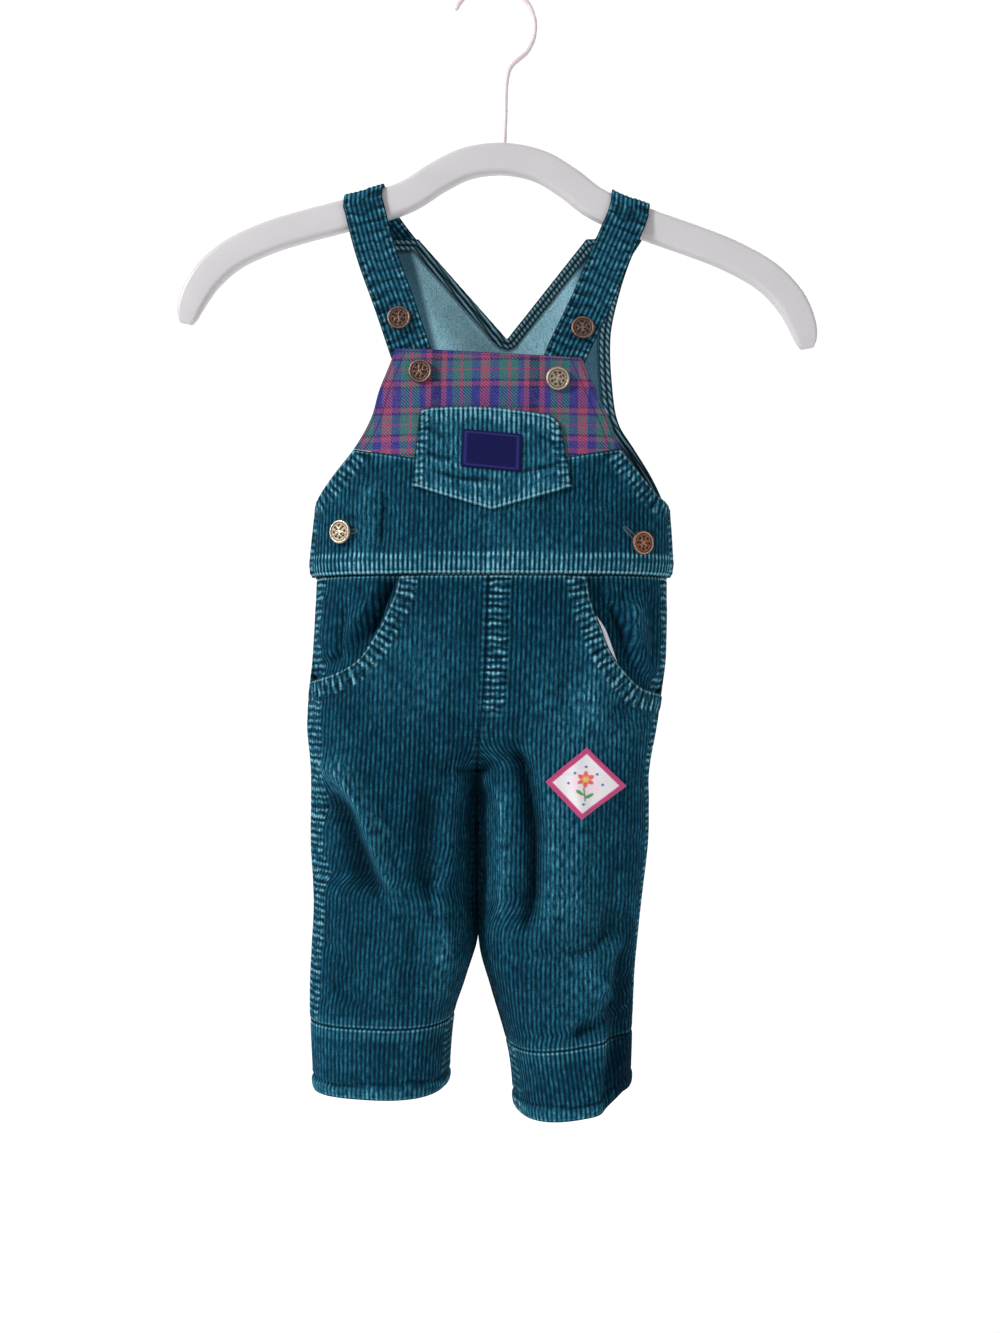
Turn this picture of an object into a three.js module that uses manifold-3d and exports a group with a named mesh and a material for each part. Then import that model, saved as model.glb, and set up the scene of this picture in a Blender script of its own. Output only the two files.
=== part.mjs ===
// A toddler's bib overalls in wide-wale corduroy, hanging by the two straps from a plain coat hanger.
// Millimetres, +Z up. The wearer's front faces -Y, and left and right are as seen from the front.
// The origin is the inside top of the hanger's hook, where a rod or peg carries it.
import * as THREE from "three";
import { mergeVertices } from "three/addons/utils/BufferGeometryUtils.js";
import Module from "manifold-3d";

const wasm = await Module();
wasm.setup();

// Driving dimensions
const CORDUROY = 1.8;
const FLANNEL = 1.6;
const STRAP_CLOTH = 2.4;
const HEM_CLOTH = 2.4;
const LINING = 1.0;
const SEAM = 0.3;
const SIDE_SEAM = 0.7;
const LAY = 0.8;
const FACING_GAP = 2.3;
const STRAP_WIDTH = 26;
const WAIST_Z = -384;
const CROTCH_Z = -508;
const BUTTON_RADIUS = 7.5;
const ROUNDNESS = 2.6;
const HANGER_TILT = THREE.MathUtils.degToRad(2.3);

// The body's sections above the crotch: its two sides, its middle seam, its front and its back
const TORSO = [
  { z: -130, left: -100, middle: 1, right: 104, front: -9, back: 5 },
  { z: -200, left: -101, middle: 0, right: 105, front: -17, back: 18 },
  { z: -240, left: -104, middle: -1, right: 106, front: -25, back: 26 },
  { z: -300, left: -111, middle: -2, right: 109, front: -35, back: 34 },
  { z: -340, left: -114.5, middle: -3, right: 111, front: -42, back: 40 },
  { z: -380, left: -118, middle: -4, right: 113, front: -48, back: 46 },
  { z: -427, left: -117, middle: -5.5, right: 110.5, front: -51, back: 51 },
  { z: -456, left: -119, middle: -7, right: 106.5, front: -51, back: 52 },
  { z: -476, left: -121, middle: -9, right: 104.6, front: -50, back: 52 },
  { z: -495, left: -119, middle: -11, right: 101.4, front: -48, back: 50 },
  { z: CROTCH_Z, left: -118.4, middle: -12, right: 99, front: -46, back: 48 },
];

// Each leg's sections: its outer and inner sides, its front and back, and its turn outwards in degrees.
// Its droop is how far the hem falls, a millimetre across, to the wearer's right
const LEFT_LEG = [
  { z: -300, outer: -111, inner: -2, front: -35, back: 34, turn: 0 },
  { z: -427, outer: -117, inner: -5.7, front: -51, back: 51, turn: 0 },
  { z: -476, outer: -121, inner: -9.2, front: -50, back: 52, turn: 0 },
  { z: CROTCH_Z, outer: -118.4, inner: -12.2, front: -46, back: 48, turn: 0 },
  { z: -528, outer: -118.2, inner: -12.8, front: -44, back: 45, turn: 3 },
  { z: -553, outer: -118.4, inner: -12.6, front: -42, back: 43, turn: 6 },
  { z: -592, outer: -116.5, inner: -12.8, front: -40, back: 40, turn: 9 },
  { z: -621, outer: -118, inner: -13.6, front: -39, back: 38, turn: 11 },
  { z: -645, outer: -119, inner: -20, front: -38, back: 36, turn: 13 },
  { z: -667, outer: -118.5, inner: -27, front: -38, back: 35, turn: 15 },
  { z: -711, outer: -116, inner: -31, front: -38, back: 34, turn: 16 },
];
const RIGHT_LEG = [
  { z: -300, outer: 109, inner: -2, front: -35, back: 34, turn: 0 },
  { z: -427, outer: 110.5, inner: -5.3, front: -51, back: 51, turn: 0 },
  { z: -476, outer: 104.6, inner: -8.8, front: -50, back: 52, turn: 0 },
  { z: CROTCH_Z, outer: 99, inner: -11.8, front: -46, back: 48, turn: 0 },
  { z: -528, outer: 98.6, inner: -11.6, front: -45, back: 46, turn: 3 },
  { z: -553, outer: 98, inner: -11.6, front: -44, back: 44, turn: 6 },
  { z: -592, outer: 93.5, inner: -11.4, front: -42, back: 42, turn: 10 },
  { z: -621, outer: 90.5, inner: -10, front: -41, back: 41, turn: 13 },
  { z: -645, outer: 88.5, inner: -2.5, front: -40, back: 39, turn: 15 },
  { z: -668, outer: 87, inner: 5, front: -40, back: 38, turn: 16 },
  { z: -690, outer: 86, inner: 10.5, front: -40, back: 37, turn: 16 },
  { z: -723, outer: 85, inner: 14, front: -40, back: 37, turn: 16 },
];
const LEGS = {
  left: { sign: -1, rows: LEFT_LEG, seamZ: -667, hemZ: -711, side: 0.462, droop: 0.02, hitch: 0 },
  right: { sign: 1, rows: RIGHT_LEG, seamZ: -679, hemZ: -723, side: 0.48, droop: 0.11, hitch: 11 },
};
// A leg's hitch is how far its hem is caught up beyond this far out
const HITCH_FROM_X = 68;
const DROOP_FROM_Z = -600;
// Behind their inner seams the thighs press past each other, this far to the right and this far back,
const THIGH_PRESS = 3;
const THIGH_PRESS_Y = 12;
// and in front of them they stand this far apart
const THIGH_PART = 2.5;
// The crotch curve leaves the front and back seams this far above the crotch
const FRONT_RISE = 62;
const BACK_RISE = 104;

// The free edges that show in the photo, as x at a height
const BIB_EDGES = [
  { z: -241, left: -63, right: 52.5 },
  { z: -254, left: -68, right: 58 },
  { z: -267, left: -73, right: 63.5 },
  { z: -285, left: -78, right: 71.5 },
  { z: -303, left: -88, right: 78.5 },
  { z: -320, left: -102, right: 91.5 },
  { z: -334, left: -112.6, right: 103.5 },
  { z: -342, left: -114.2, right: 110 },
];
const SCOOP = {
  left: [
    { z: -376, x: -58 },
    { z: -395, x: -62 },
    { z: -406, x: -66.5 },
    { z: -417, x: -72 },
    { z: -427, x: -78 },
    { z: -435, x: -84 },
    { z: -441, x: -92 },
    { z: -446, x: -103 },
    { z: -450, x: -117 },
  ],
  right: [
    { z: -376, x: 55.5 },
    { z: -395, x: 58.6 },
    { z: -406, x: 61.5 },
    { z: -417, x: 66 },
    { z: -428, x: 70 },
    { z: -436, x: 74.5 },
    { z: -445, x: 82 },
    { z: -454, x: 92 },
    { z: -459, x: 107 },
  ],
};
const BACK_EDGES = [
  { z: -158, left: -84, right: 97 },
  { z: -172, left: -75, right: 89.5 },
  { z: -196, left: -66, right: 81.5 },
  { z: -223, left: -61, right: 76.3 },
  { z: -262, left: -66, right: 78.5 },
  { z: -280, left: -72, right: 82.5 },
  { z: -296, left: -82, right: 92 },
  { z: -312, left: -94, right: 101 },
  { z: -326, left: -106, right: 107 },
  { z: -340, left: -114.4, right: 110.9 },
];
// The V of the back neckline
const NECK = { x: 7.8, z: -223, leftSlope: -0.93, rightSlope: 0.83, earZ: -160.5 };

// The largest folds, as ridges (height above 0) and troughs along lines of x, z on the front or back
const FOLDS = [
  {
    leg: "left", face: "front", height: 5.5, width: 9,
    line: [[-116, -499], [-91, -509], [-80, -531], [-69, -563], [-44, -604]],
  },
  {
    leg: "left", face: "front", height: -4.5, width: 10,
    line: [[-112, -517], [-97, -530], [-88, -556], [-74, -588]],
  },
  { leg: "left", face: "front", height: -3.5, width: 8, line: [[-38, -508], [-41, -554], [-43, -592]] },
  { leg: "left", face: "front", height: 3, width: 9, line: [[-34, -598], [-30, -630], [-36, -655]] },
  {
    leg: "left", face: "front", height: 2.6, width: 8,
    line: [[-20, -390], [-25, -425], [-29, -462], [-31, -492]],
  },
  { leg: "left", face: "front", height: -2.2, width: 6, line: [[-104, -640], [-84, -652]] },
  { leg: "left", face: "front", height: 2.4, width: 9, line: [[-60, -625], [-72, -655]] },
  {
    leg: "right", face: "front", height: -7.5, width: 8,
    line: [[9, -480], [20, -517], [24, -548], [24, -579], [17, -616]],
  },
  { leg: "right", face: "front", height: 3, width: 9, line: [[4, -500], [9, -536], [10, -573], [4, -612]] },
  {
    leg: "right", face: "front", height: 3.2, width: 11,
    line: [[27, -485], [38, -530], [40, -575], [33, -620]],
  },
  { leg: "right", face: "front", height: -2.2, width: 7, line: [[48, -402], [45, -449], [41, -486]] },
  { leg: "right", face: "front", height: 2.4, width: 9, line: [[58, -452], [63, -480]] },
  { leg: "right", face: "front", height: -2.4, width: 6, line: [[72, -463], [90, -470]] },
  { leg: "right", face: "front", height: -3.8, width: 6, line: [[78, -650], [62, -666], [46, -673]] },
  { leg: "right", face: "front", height: 3, width: 8, line: [[72, -638], [50, -658]] },
  {
    leg: "right", face: "front", height: -6, width: 5,
    line: [[84, -606], [80, -640], [76, -676], [72, -712], [70, -740]],
  },
  { leg: "right", face: "front", height: -2.6, width: 11, line: [[28, -622], [60, -614], [88, -592]] },
  { leg: "left", face: "back", height: 4.2, width: 10, line: [[-20, -520], [-52, -540], [-88, -548]] },
  { leg: "left", face: "back", height: -4, width: 9, line: [[-26, -538], [-58, -560], [-92, -568]] },
  { leg: "left", face: "back", height: 3.4, width: 10, line: [[-58, -410], [-50, -450], [-40, -492]] },
  { leg: "left", face: "back", height: -3, width: 9, line: [[-80, -590], [-60, -620], [-52, -650]] },
  { leg: "right", face: "back", height: 4.2, width: 10, line: [[-2, -524], [32, -540], [68, -545]] },
  { leg: "right", face: "back", height: -4, width: 9, line: [[4, -542], [38, -560], [74, -566]] },
  { leg: "right", face: "back", height: -3, width: 10, line: [[48, -405], [40, -445], [30, -490]] },
  { leg: "right", face: "back", height: 3, width: 9, line: [[66, -585], [52, -620], [44, -655]] },
];
const TORSO_FOLDS = [
  { face: "front", height: -2, width: 6, line: [[-69, -330], [-67, -352], [-72, -372]] },
  { face: "front", height: 1.8, width: 9, line: [[-80, -325], [-82, -350]] },
  { face: "front", height: -1.8, width: 8, line: [[62, -318], [70, -345]] },
  { face: "back", height: 3, width: 12, line: [[-48, -262], [-30, -318], [-36, -368]] },
  { face: "back", height: -2.6, width: 12, line: [[34, -255], [28, -310], [36, -365]] },
  { face: "back", height: 2.4, width: 10, line: [[70, -300], [62, -350]] },
];

const clamp01 = (t) => Math.min(1, Math.max(0, t));
const smooth = (t) => clamp01(t) ** 2 * (3 - 2 * clamp01(t));
const lerp = THREE.MathUtils.lerp;

// One column of a table as a smooth function of z
function column(rows, key) {
  const table = [...rows].sort((a, b) => a.z - b.z);
  const slope = table.map((row, i) => {
    const before = table[Math.max(0, i - 1)];
    const after = table[Math.min(table.length - 1, i + 1)];
    return (after[key] - before[key]) / (after.z - before.z);
  });
  return (z) => {
    let i = 0;
    while (i < table.length - 2 && z > table[i + 1].z) i += 1;
    const [a, b] = [table[i], table[i + 1]];
    const span = b.z - a.z;
    const t = clamp01((z - a.z) / span);
    const bend = (slope[i] * (t - 1) + slope[i + 1] * t) * t * (t - 1) * span;
    return lerp(a[key], b[key], t * t * (3 - 2 * t)) + bend;
  };
}
const columns = (rows, keys) => Object.fromEntries(keys.map((key) => [key, column(rows, key)]));

const torso = columns(TORSO, ["left", "middle", "right", "front", "back"]);
const bibEdge = columns(BIB_EDGES, ["left", "right"]);
const backEdge = columns(BACK_EDGES, ["left", "right"]);
for (const leg of Object.values(LEGS)) {
  leg.at = columns(leg.rows, ["outer", "inner", "front", "back", "turn"]);
}

// The nearest point of a line to x, z: how far it is, and its share of the way along
function nearestOn(line, x, z) {
  let nearest = { distance: Infinity, along: 0 };
  for (let i = 0; i < line.length - 1; i += 1) {
    const [[x0, z0], [x1, z1]] = [line[i], line[i + 1]];
    const length = (x1 - x0) ** 2 + (z1 - z0) ** 2;
    const t = clamp01(((x - x0) * (x1 - x0) + (z - z0) * (z1 - z0)) / length);
    const distance = Math.hypot(x - lerp(x0, x1, t), z - lerp(z0, z1, t));
    if (distance < nearest.distance) nearest = { distance, along: (i + t) / (line.length - 1) };
  }
  return nearest;
}
const toLine = (line, x, z) => nearestOn(line, x, z).distance;

// How far the folds of a list move the cloth out at x, z
function foldAt(folds, face, x, z) {
  let total = 0;
  for (const fold of folds) {
    if (fold.face !== face) continue;
    const { distance, along } = nearestOn(fold.line, x, z);
    const taper = smooth(along / 0.22) * smooth((1 - along) / 0.22);
    total += fold.height * taper * Math.exp(-((distance / fold.width) ** 2));
  }
  return total;
}

// A rounded section's point at an angle from the front, for unit half sizes
const power = (value) => Math.sign(value) * Math.abs(value) ** (2 / ROUNDNESS);
const sectionPoint = (angle) => [power(Math.sin(angle)), power(Math.cos(angle))];
const angleOfX = (share) => Math.asin(Math.sign(share) * Math.min(1, Math.abs(share)) ** (ROUNDNESS / 2));

// The torso's surface: angle 0 is the middle of the front, 90 degrees its right side, 180 the back
function torsoBase(angle, z) {
  const [across, forward] = sectionPoint(angle);
  const half = across < 0 ? torso.middle(z) - torso.left(z) : torso.right(z) - torso.middle(z);
  const depth = forward > 0 ? torso.front(z) : -torso.back(z);
  return [torso.middle(z) + across * half, forward * depth];
}
function torsoPoint(angle, z) {
  const step = 0.02;
  const [x, y] = torsoBase(angle, z);
  const [x0, y0] = torsoBase(angle - step, z);
  const [x1, y1] = torsoBase(angle + step, z);
  const normal = new THREE.Vector3(y1 - y0, x0 - x1, 0).normalize();
  const face = Math.cos(angle) > 0 ? "front" : "back";
  const gate = smooth(Math.abs(Math.cos(angle)) * 1.6);
  const out = foldAt(TORSO_FOLDS, face, x, z) * gate;
  return { point: new THREE.Vector3(x, y, z).addScaledVector(normal, out), normal };
}
function torsoAngle(x, z, face) {
  const middle = torso.middle(z);
  const half = x < middle ? middle - torso.left(z) : torso.right(z) - middle;
  const angle = angleOfX((x - middle) / half);
  return face === "front" ? angle : Math.PI - angle;
}
const onTorso = (x, z, face) => torsoPoint(torsoAngle(x, z, face), z);

// A leg's section at a height, as close-set points from the inner seam round the front and the outer side
// to the inner seam again. Above the crotch it is half the torso, and the two seams run down and under.
const SAMPLES = 192;
function legSection(leg, z) {
  const { outer, inner, front, back, turn } = leg.at;
  const middle = torso.middle(Math.max(z, CROTCH_Z)) + (leg.sign * SEAM) / 2;
  const rise = (height) => {
    const t = clamp01((CROTCH_Z + height - z) / height);
    return 1 - Math.sqrt(1 - t * t);
  };
  const [frontBlend, backBlend] = [rise(FRONT_RISE), rise(BACK_RISE)];
  const centre = (outer(z) + inner(z)) / 2;
  const half = Math.abs(outer(z) - inner(z)) / 2;
  const press = THIGH_PRESS * smooth((CROTCH_Z + 4 - z) / 30) * smooth((z + 655) / 40);
  const part = leg.sign * THIGH_PART * smooth((CROTCH_Z - 2 - z) / 14) * smooth((z + 616) / 36);
  const angle = THREE.MathUtils.degToRad(turn(z)) * leg.sign;
  const base = [];
  for (let i = 0; i <= SAMPLES; i += 1) {
    const t = i / SAMPLES;
    const [torsoX, torsoY] = sectionPoint(t * Math.PI);
    const [legX, legY] = sectionPoint((2 * t - 0.5) * Math.PI);
    const depthOf = (forward) => (forward > 0 ? forward * front(z) : -forward * back(z));
    const [dx, dy] = [leg.sign * legX * half, depthOf(legY)];
    const turnedX = centre + dx * Math.cos(angle) - dy * Math.sin(angle);
    const turnedY = dx * Math.sin(angle) + dy * Math.cos(angle);
    const blend = t < 0.5 ? frontBlend : backBlend;
    const wholeX = middle + torsoX * (outer(z) - middle);
    const y = lerp(depthOf(torsoY), turnedY, blend);
    const inside = smooth((0.25 - Math.min(t, 1 - t)) / 0.12);
    const pressed = press * Math.exp(-(((y - THIGH_PRESS_Y) / 8) ** 2));
    base.push([lerp(wholeX, turnedX, blend) + inside * (pressed + part * smooth((-2 - y) / 10)), y]);
  }
  const folds = FOLDS.filter((fold) => LEGS[fold.leg] === leg);
  const closed = z < CROTCH_Z;
  return base.map(([x, y], i) => {
    const [x0, y0] = base[i > 0 ? i - 1 : closed ? SAMPLES - 1 : 0];
    const [x1, y1] = base[i < SAMPLES ? i + 1 : closed ? 1 : SAMPLES];
    const normal = new THREE.Vector3(y1 - y0, x0 - x1, 0).normalize().multiplyScalar(leg.sign);
    const nearSeam = smooth(Math.min(i, SAMPLES - i) / (SAMPLES * 0.1));
    const facing = smooth(Math.abs(normal.y) * 1.8);
    const out = foldAt(folds, normal.y < 0 ? "front" : "back", x, z) * nearSeam * facing;
    const hitched = leg.hitch * smooth((x - HITCH_FROM_X) / 14) * smooth((leg.seamZ - 3 - z) / 36);
    const fall = leg.droop * (x - centre) * smooth((DROOP_FROM_Z - z) / 70) + hitched;
    return { point: new THREE.Vector3(x, y, z + fall).addScaledVector(normal, out), normal };
  });
}

// The distance along a section to each of its points
function lengthsOf(section) {
  const lengths = [0];
  for (let i = 1; i < section.length; i += 1) {
    lengths.push(lengths[i - 1] + section[i].point.distanceTo(section[i - 1].point));
  }
  return lengths;
}
function atLength(section, lengths, wanted) {
  let i = 1;
  while (i < lengths.length - 1 && lengths[i] < wanted) i += 1;
  const t = clamp01((wanted - lengths[i - 1]) / (lengths[i] - lengths[i - 1]));
  return between(section[i - 1], section[i], t);
}
// The length at which the front of a section first reaches x
function lengthAtX(section, lengths, x) {
  for (let i = 1; i < section.length / 2; i += 1) {
    const [a, b] = [section[i - 1].point.x, section[i].point.x];
    if ((a - x) * (b - x) <= 0 && a !== b) return lerp(lengths[i - 1], lengths[i], (x - a) / (b - a));
  }
  return lengths[Math.floor(section.length / 2)];
}

// A closed wall from rows of points with normals. The outer face lies `lift` above the points
function wall(rows, thickness, lift = 0, ring = false) {
  const [high, wide] = [rows.length, rows[0].length];
  const positions = [];
  for (const depth of [lift, lift - thickness]) {
    for (const row of rows) {
      for (const { point, normal } of row) {
        positions.push(...point.clone().addScaledVector(normal, depth).toArray());
      }
    }
  }
  const index = [];
  const quad = (a, b, c, d) => index.push(a, b, c, a, c, d);
  const outer = (i, j) => i * wide + (j % wide);
  const inner = (i, j) => high * wide + outer(i, j);
  const spans = ring ? wide : wide - 1;
  for (let i = 0; i < high - 1; i += 1) {
    for (let j = 0; j < spans; j += 1) {
      quad(outer(i, j), outer(i + 1, j), outer(i + 1, j + 1), outer(i, j + 1));
      quad(inner(i, j), inner(i, j + 1), inner(i + 1, j + 1), inner(i + 1, j));
    }
  }
  for (let j = 0; j < spans; j += 1) {
    quad(outer(0, j), outer(0, j + 1), inner(0, j + 1), inner(0, j));
    quad(outer(high - 1, j), inner(high - 1, j), inner(high - 1, j + 1), outer(high - 1, j + 1));
  }
  for (let i = 0; i < high - 1 && !ring; i += 1) {
    quad(outer(i, 0), inner(i, 0), inner(i + 1, 0), outer(i + 1, 0));
    quad(outer(i, wide - 1), outer(i + 1, wide - 1), inner(i + 1, wide - 1), inner(i, wide - 1));
  }
  return facingOut(positions, index);
}

// A geometry whose faces point out, whichever way round its points came
function facingOut(positions, index) {
  const corner = (k) => new THREE.Vector3().fromArray(positions, index[k] * 3);
  let volume = 0;
  for (let k = 0; k < index.length; k += 3) {
    volume += corner(k).dot(corner(k + 1).cross(corner(k + 2)));
  }
  for (let k = 0; k < index.length && volume < 0; k += 3) {
    [index[k + 1], index[k + 2]] = [index[k + 2], index[k + 1]];
  }
  const geometry = new THREE.BufferGeometry();
  geometry.setAttribute("position", new THREE.Float32BufferAttribute(positions, 3));
  geometry.setIndex(index);
  geometry.computeVertexNormals();
  return geometry;
}

// A closed bar through rings of points, with a flat cap at each end
function loft(rings) {
  const count = rings[0].length;
  const positions = rings.flatMap((ring) => ring.flatMap((point) => point.toArray()));
  const index = [];
  for (let i = 0; i < rings.length - 1; i += 1) {
    for (let j = 0; j < count; j += 1) {
      const [a, b] = [i * count + j, i * count + ((j + 1) % count)];
      index.push(a, b, b + count, a, b + count, a + count);
    }
  }
  const last = (rings.length - 1) * count;
  for (let j = 1; j < count - 1; j += 1) {
    index.push(0, j + 1, j);
    index.push(last, last + j, last + j + 1);
  }
  return facingOut(positions, index);
}

// Evenly spaced numbers from one to another
const evenly = (from, to, count) =>
  Array.from({ length: count + 1 }, (_, i) => lerp(from, to, i / count));

const MATERIALS = {
  corduroy: { color: 0x1c4c63, roughness: 0.92 },
  flannel: { color: 0x58526b, roughness: 0.95 },
  lining: { color: 0xe6e4ea, roughness: 0.9 },
  label: { color: 0x14175a, roughness: 0.7 },
  patch: { color: 0xc2437f, roughness: 0.85 },
  button: { color: 0x6b5347, roughness: 0.4, metalness: 0.85 },
  hanger: { color: 0xf4f2f2, roughness: 0.35 },
  hook: { color: 0xf2eeee, roughness: 0.35 },
};
const overalls = new THREE.Group();
function add(name, geometry, material, group = overalls) {
  const mesh = new THREE.Mesh(geometry, new THREE.MeshStandardMaterial(MATERIALS[material]));
  mesh.name = name;
  group.add(mesh);
  return mesh;
}

// One leg's front or back panel, a row at a time between two lengths along the section
function legRows(leg, levels, count, ends) {
  return levels.map((z) => {
    const section = legSection(leg, z);
    const lengths = lengthsOf(section);
    const [from, to] = ends(section, lengths, z);
    return evenly(from, to, count).map((length) => atLength(section, lengths, length));
  });
}
const lengthAtShare = (lengths, share) => lengths[Math.round(share * SAMPLES)];

// Rows stand closer where the crotch curve turns under
const crotchLevels = [16, 10, 5, 1.5, -0.2, -6].map((above) => CROTCH_Z + above);

const FRONT_LEG_COLUMNS = 12;
function frontLeg(side) {
  const leg = LEGS[side];
  const scoopX = column(SCOOP[side], "x");
  const scoopEnd = SCOOP[side][SCOOP[side].length - 1].z;
  const levels = [
    ...evenly(WAIST_Z - SEAM / 2, scoopEnd + 18, 5),
    ...[13, 9, 5.5, 3, 1.3, -0.3].map((above) => scoopEnd + above),
    ...evenly(scoopEnd - 11, CROTCH_Z + 24, 2),
    ...crotchLevels,
    ...evenly(CROTCH_Z - 16, leg.seamZ + SEAM / 2, 10),
  ];
  return legRows(leg, levels, FRONT_LEG_COLUMNS, (section, lengths, z) => {
    const seam = lengthAtShare(lengths, leg.side) - SIDE_SEAM / 2;
    const scoop = z > scoopEnd ? lengthAtX(section, lengths, scoopX(z)) : seam;
    return [SEAM / 2, Math.min(seam, scoop)];
  });
}
const BACK_LEG_COLUMNS = 11;
function backLeg(side) {
  const leg = LEGS[side];
  const levels = [
    ...evenly(WAIST_Z - SEAM / 2, CROTCH_Z + 24, 7),
    ...crotchLevels,
    ...evenly(CROTCH_Z - 16, leg.seamZ + SEAM / 2, 10),
  ];
  return legRows(leg, levels, BACK_LEG_COLUMNS, (section, lengths) => [
    lengthAtShare(lengths, leg.side) + SIDE_SEAM / 2,
    lengths[SAMPLES] - SEAM / 2,
  ]);
}
// The turned hem: a closed ring below the hem's seam, fuller at its stitched crease
function hem(side) {
  const leg = LEGS[side];
  const levels = evenly(leg.seamZ - SEAM / 2, leg.hemZ, 5);
  return levels.map((z) => {
    const section = legSection(leg, z);
    const lengths = lengthsOf(section);
    const count = 26;
    const crease = 0.9 * Math.exp(-(((z - leg.hemZ - 5) / 5) ** 2));
    return Array.from({ length: count }, (_, j) => {
      const place = atLength(section, lengths, (lengths[SAMPLES] * (j + 0.5)) / count);
      place.point.addScaledVector(place.normal, crease);
      return place;
    });
  });
}

// The piece that closes the pocket's mouth: it lies inside the front panel, and meets the side seam
const FACING_UNDERLAP = 13;
const MOUTH_DEPTH = 3;
function pocketFacing(side) {
  const leg = LEGS[side];
  const scoopX = column(SCOOP[side], "x");
  const scoopEnd = SCOOP[side][SCOOP[side].length - 1].z;
  const mouthLine = evenly(WAIST_Z + 6, scoopEnd, 24).map((z) => [scoopX(z), z]);
  const levels = evenly(WAIST_Z - SEAM / 2, scoopEnd - 8, 12);
  const columnsAcross = 9;
  return levels.map((z) => {
    const section = legSection(leg, z);
    const lengths = lengthsOf(section);
    const seam = lengthAtShare(lengths, leg.side) - SIDE_SEAM / 2;
    const mouth = z > scoopEnd ? Math.min(seam, lengthAtX(section, lengths, scoopX(z))) : seam;
    const start = Math.max(0, Math.min(mouth, seam - 18) - FACING_UNDERLAP);
    return Array.from({ length: columnsAcross + 1 }, (_, j) => {
      const length = lerp(start, seam, j / columnsAcross);
      const place = atLength(section, lengths, length);
      const beyond = length > mouth ? toLine(mouthLine, place.point.x, z) : 0;
      const under = smooth((14 - beyond) / 7);
      const open = smooth((18 - beyond) / 14) * smooth((z - scoopEnd) / 26) * smooth((WAIST_Z - z) / 16);
      const inset = (CORDUROY + FACING_GAP) * under + MOUTH_DEPTH * open;
      place.point.addScaledVector(place.normal, -inset);
      return place;
    });
  });
}
// The edge of white pocketing that shows in the right mouth, between the front panel and the facing
function pocketLining() {
  const leg = LEGS.right;
  const scoopX = column(SCOOP.right, "x");
  const [above, below] = [-408, -440];
  return evenly(above, below, 6).map((z) => {
    const section = legSection(leg, z);
    const lengths = lengthsOf(section);
    const mouth = lengthAtX(section, lengths, scoopX(z));
    const peek = 3.4 * Math.sin((Math.PI * (above - z)) / (above - below));
    return Array.from({ length: 4 }, (_, j) => {
      const place = atLength(section, lengths, lerp(mouth - 7, mouth + peek, j / 3));
      place.point.addScaledVector(place.normal, -(CORDUROY + 0.5));
      return place;
    });
  });
}

// The bib and the back come in to the legs at the waist seam
const WAIST_STEP = 1.3;
function seated(rows) {
  for (const { point, normal } of rows.flat()) {
    point.addScaledVector(normal, -WAIST_STEP * smooth((WAIST_Z + 12 - point.z) / 12));
  }
  return rows;
}

// A panel on the torso: rows from the top edge to the bottom edge, each from its left to its right edge
function torsoPanel(rowsDown, columnsAcross, topZ, bottomZ, edges) {
  return Array.from({ length: rowsDown + 1 }, (_, i) =>
    Array.from({ length: columnsAcross + 1 }, (_, j) => {
      const across = j / columnsAcross;
      const z = lerp(topZ(across), bottomZ(across), i / rowsDown);
      return torsoPoint(lerp(edges.left(z), edges.right(z), across), z);
    }),
  );
}
// Below the armholes the bib's edges run down the sides, and the back's go a little under them
const ARMHOLE_Z = -338;
const SIDE_ANGLE = THREE.MathUtils.degToRad(87);
const UNDERLAP = THREE.MathUtils.degToRad(11);
const sideways = (z) => smooth((ARMHOLE_Z + 6 - z) / 9);
const bibSides = {
  left: (z) => lerp(torsoAngle(bibEdge.left(z), z, "front"), -SIDE_ANGLE, sideways(z)),
  right: (z) => lerp(torsoAngle(bibEdge.right(z), z, "front"), SIDE_ANGLE, sideways(z)),
};
// The yoke's top edge, and its lower seam, a shallow V
const yokeTop = (across) => lerp(-239.5, -246, across);
const yokeSeam = (across) => -304 - 14 * (1 - Math.abs(2 * across - 1));
const frontBib = () =>
  seated(torsoPanel(8, 18, (u) => yokeSeam(u) - SEAM / 2, () => WAIST_Z + SEAM / 2, bibSides));
const bibYoke = () => torsoPanel(6, 14, yokeTop, (u) => yokeSeam(u) + SEAM / 2, bibSides);

// The back bib narrows to the two ears that carry the straps
function backTop(across) {
  const [left, right] = [backEdge.left, backEdge.right];
  let z = NECK.earZ;
  while (z > NECK.z) {
    const x = lerp(left(z), right(z), across);
    const slope = x < NECK.x ? NECK.leftSlope : NECK.rightSlope;
    if (Math.abs(x - NECK.x) > Math.abs(slope * (z - NECK.z))) break;
    z -= 0.25;
  }
  return z;
}
const backSides = {
  left: (z) => lerp(torsoAngle(backEdge.left(z), z, "back"), 1.5 * Math.PI + UNDERLAP, sideways(z)),
  right: (z) => lerp(torsoAngle(backEdge.right(z), z, "back"), 0.5 * Math.PI - UNDERLAP, sideways(z)),
};
function backBib() {
  const rows = torsoPanel(12, 24, backTop, () => WAIST_Z + SEAM / 2, backSides);
  for (const { point, normal } of rows.flat()) {
    const beneath = smooth((point.z > ARMHOLE_Z + 12 ? 0 : 9 - point.y) / 9);
    point.addScaledVector(normal, -(CORDUROY + SEAM + 0.1) * beneath);
  }
  return seated(rows);
}

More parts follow.
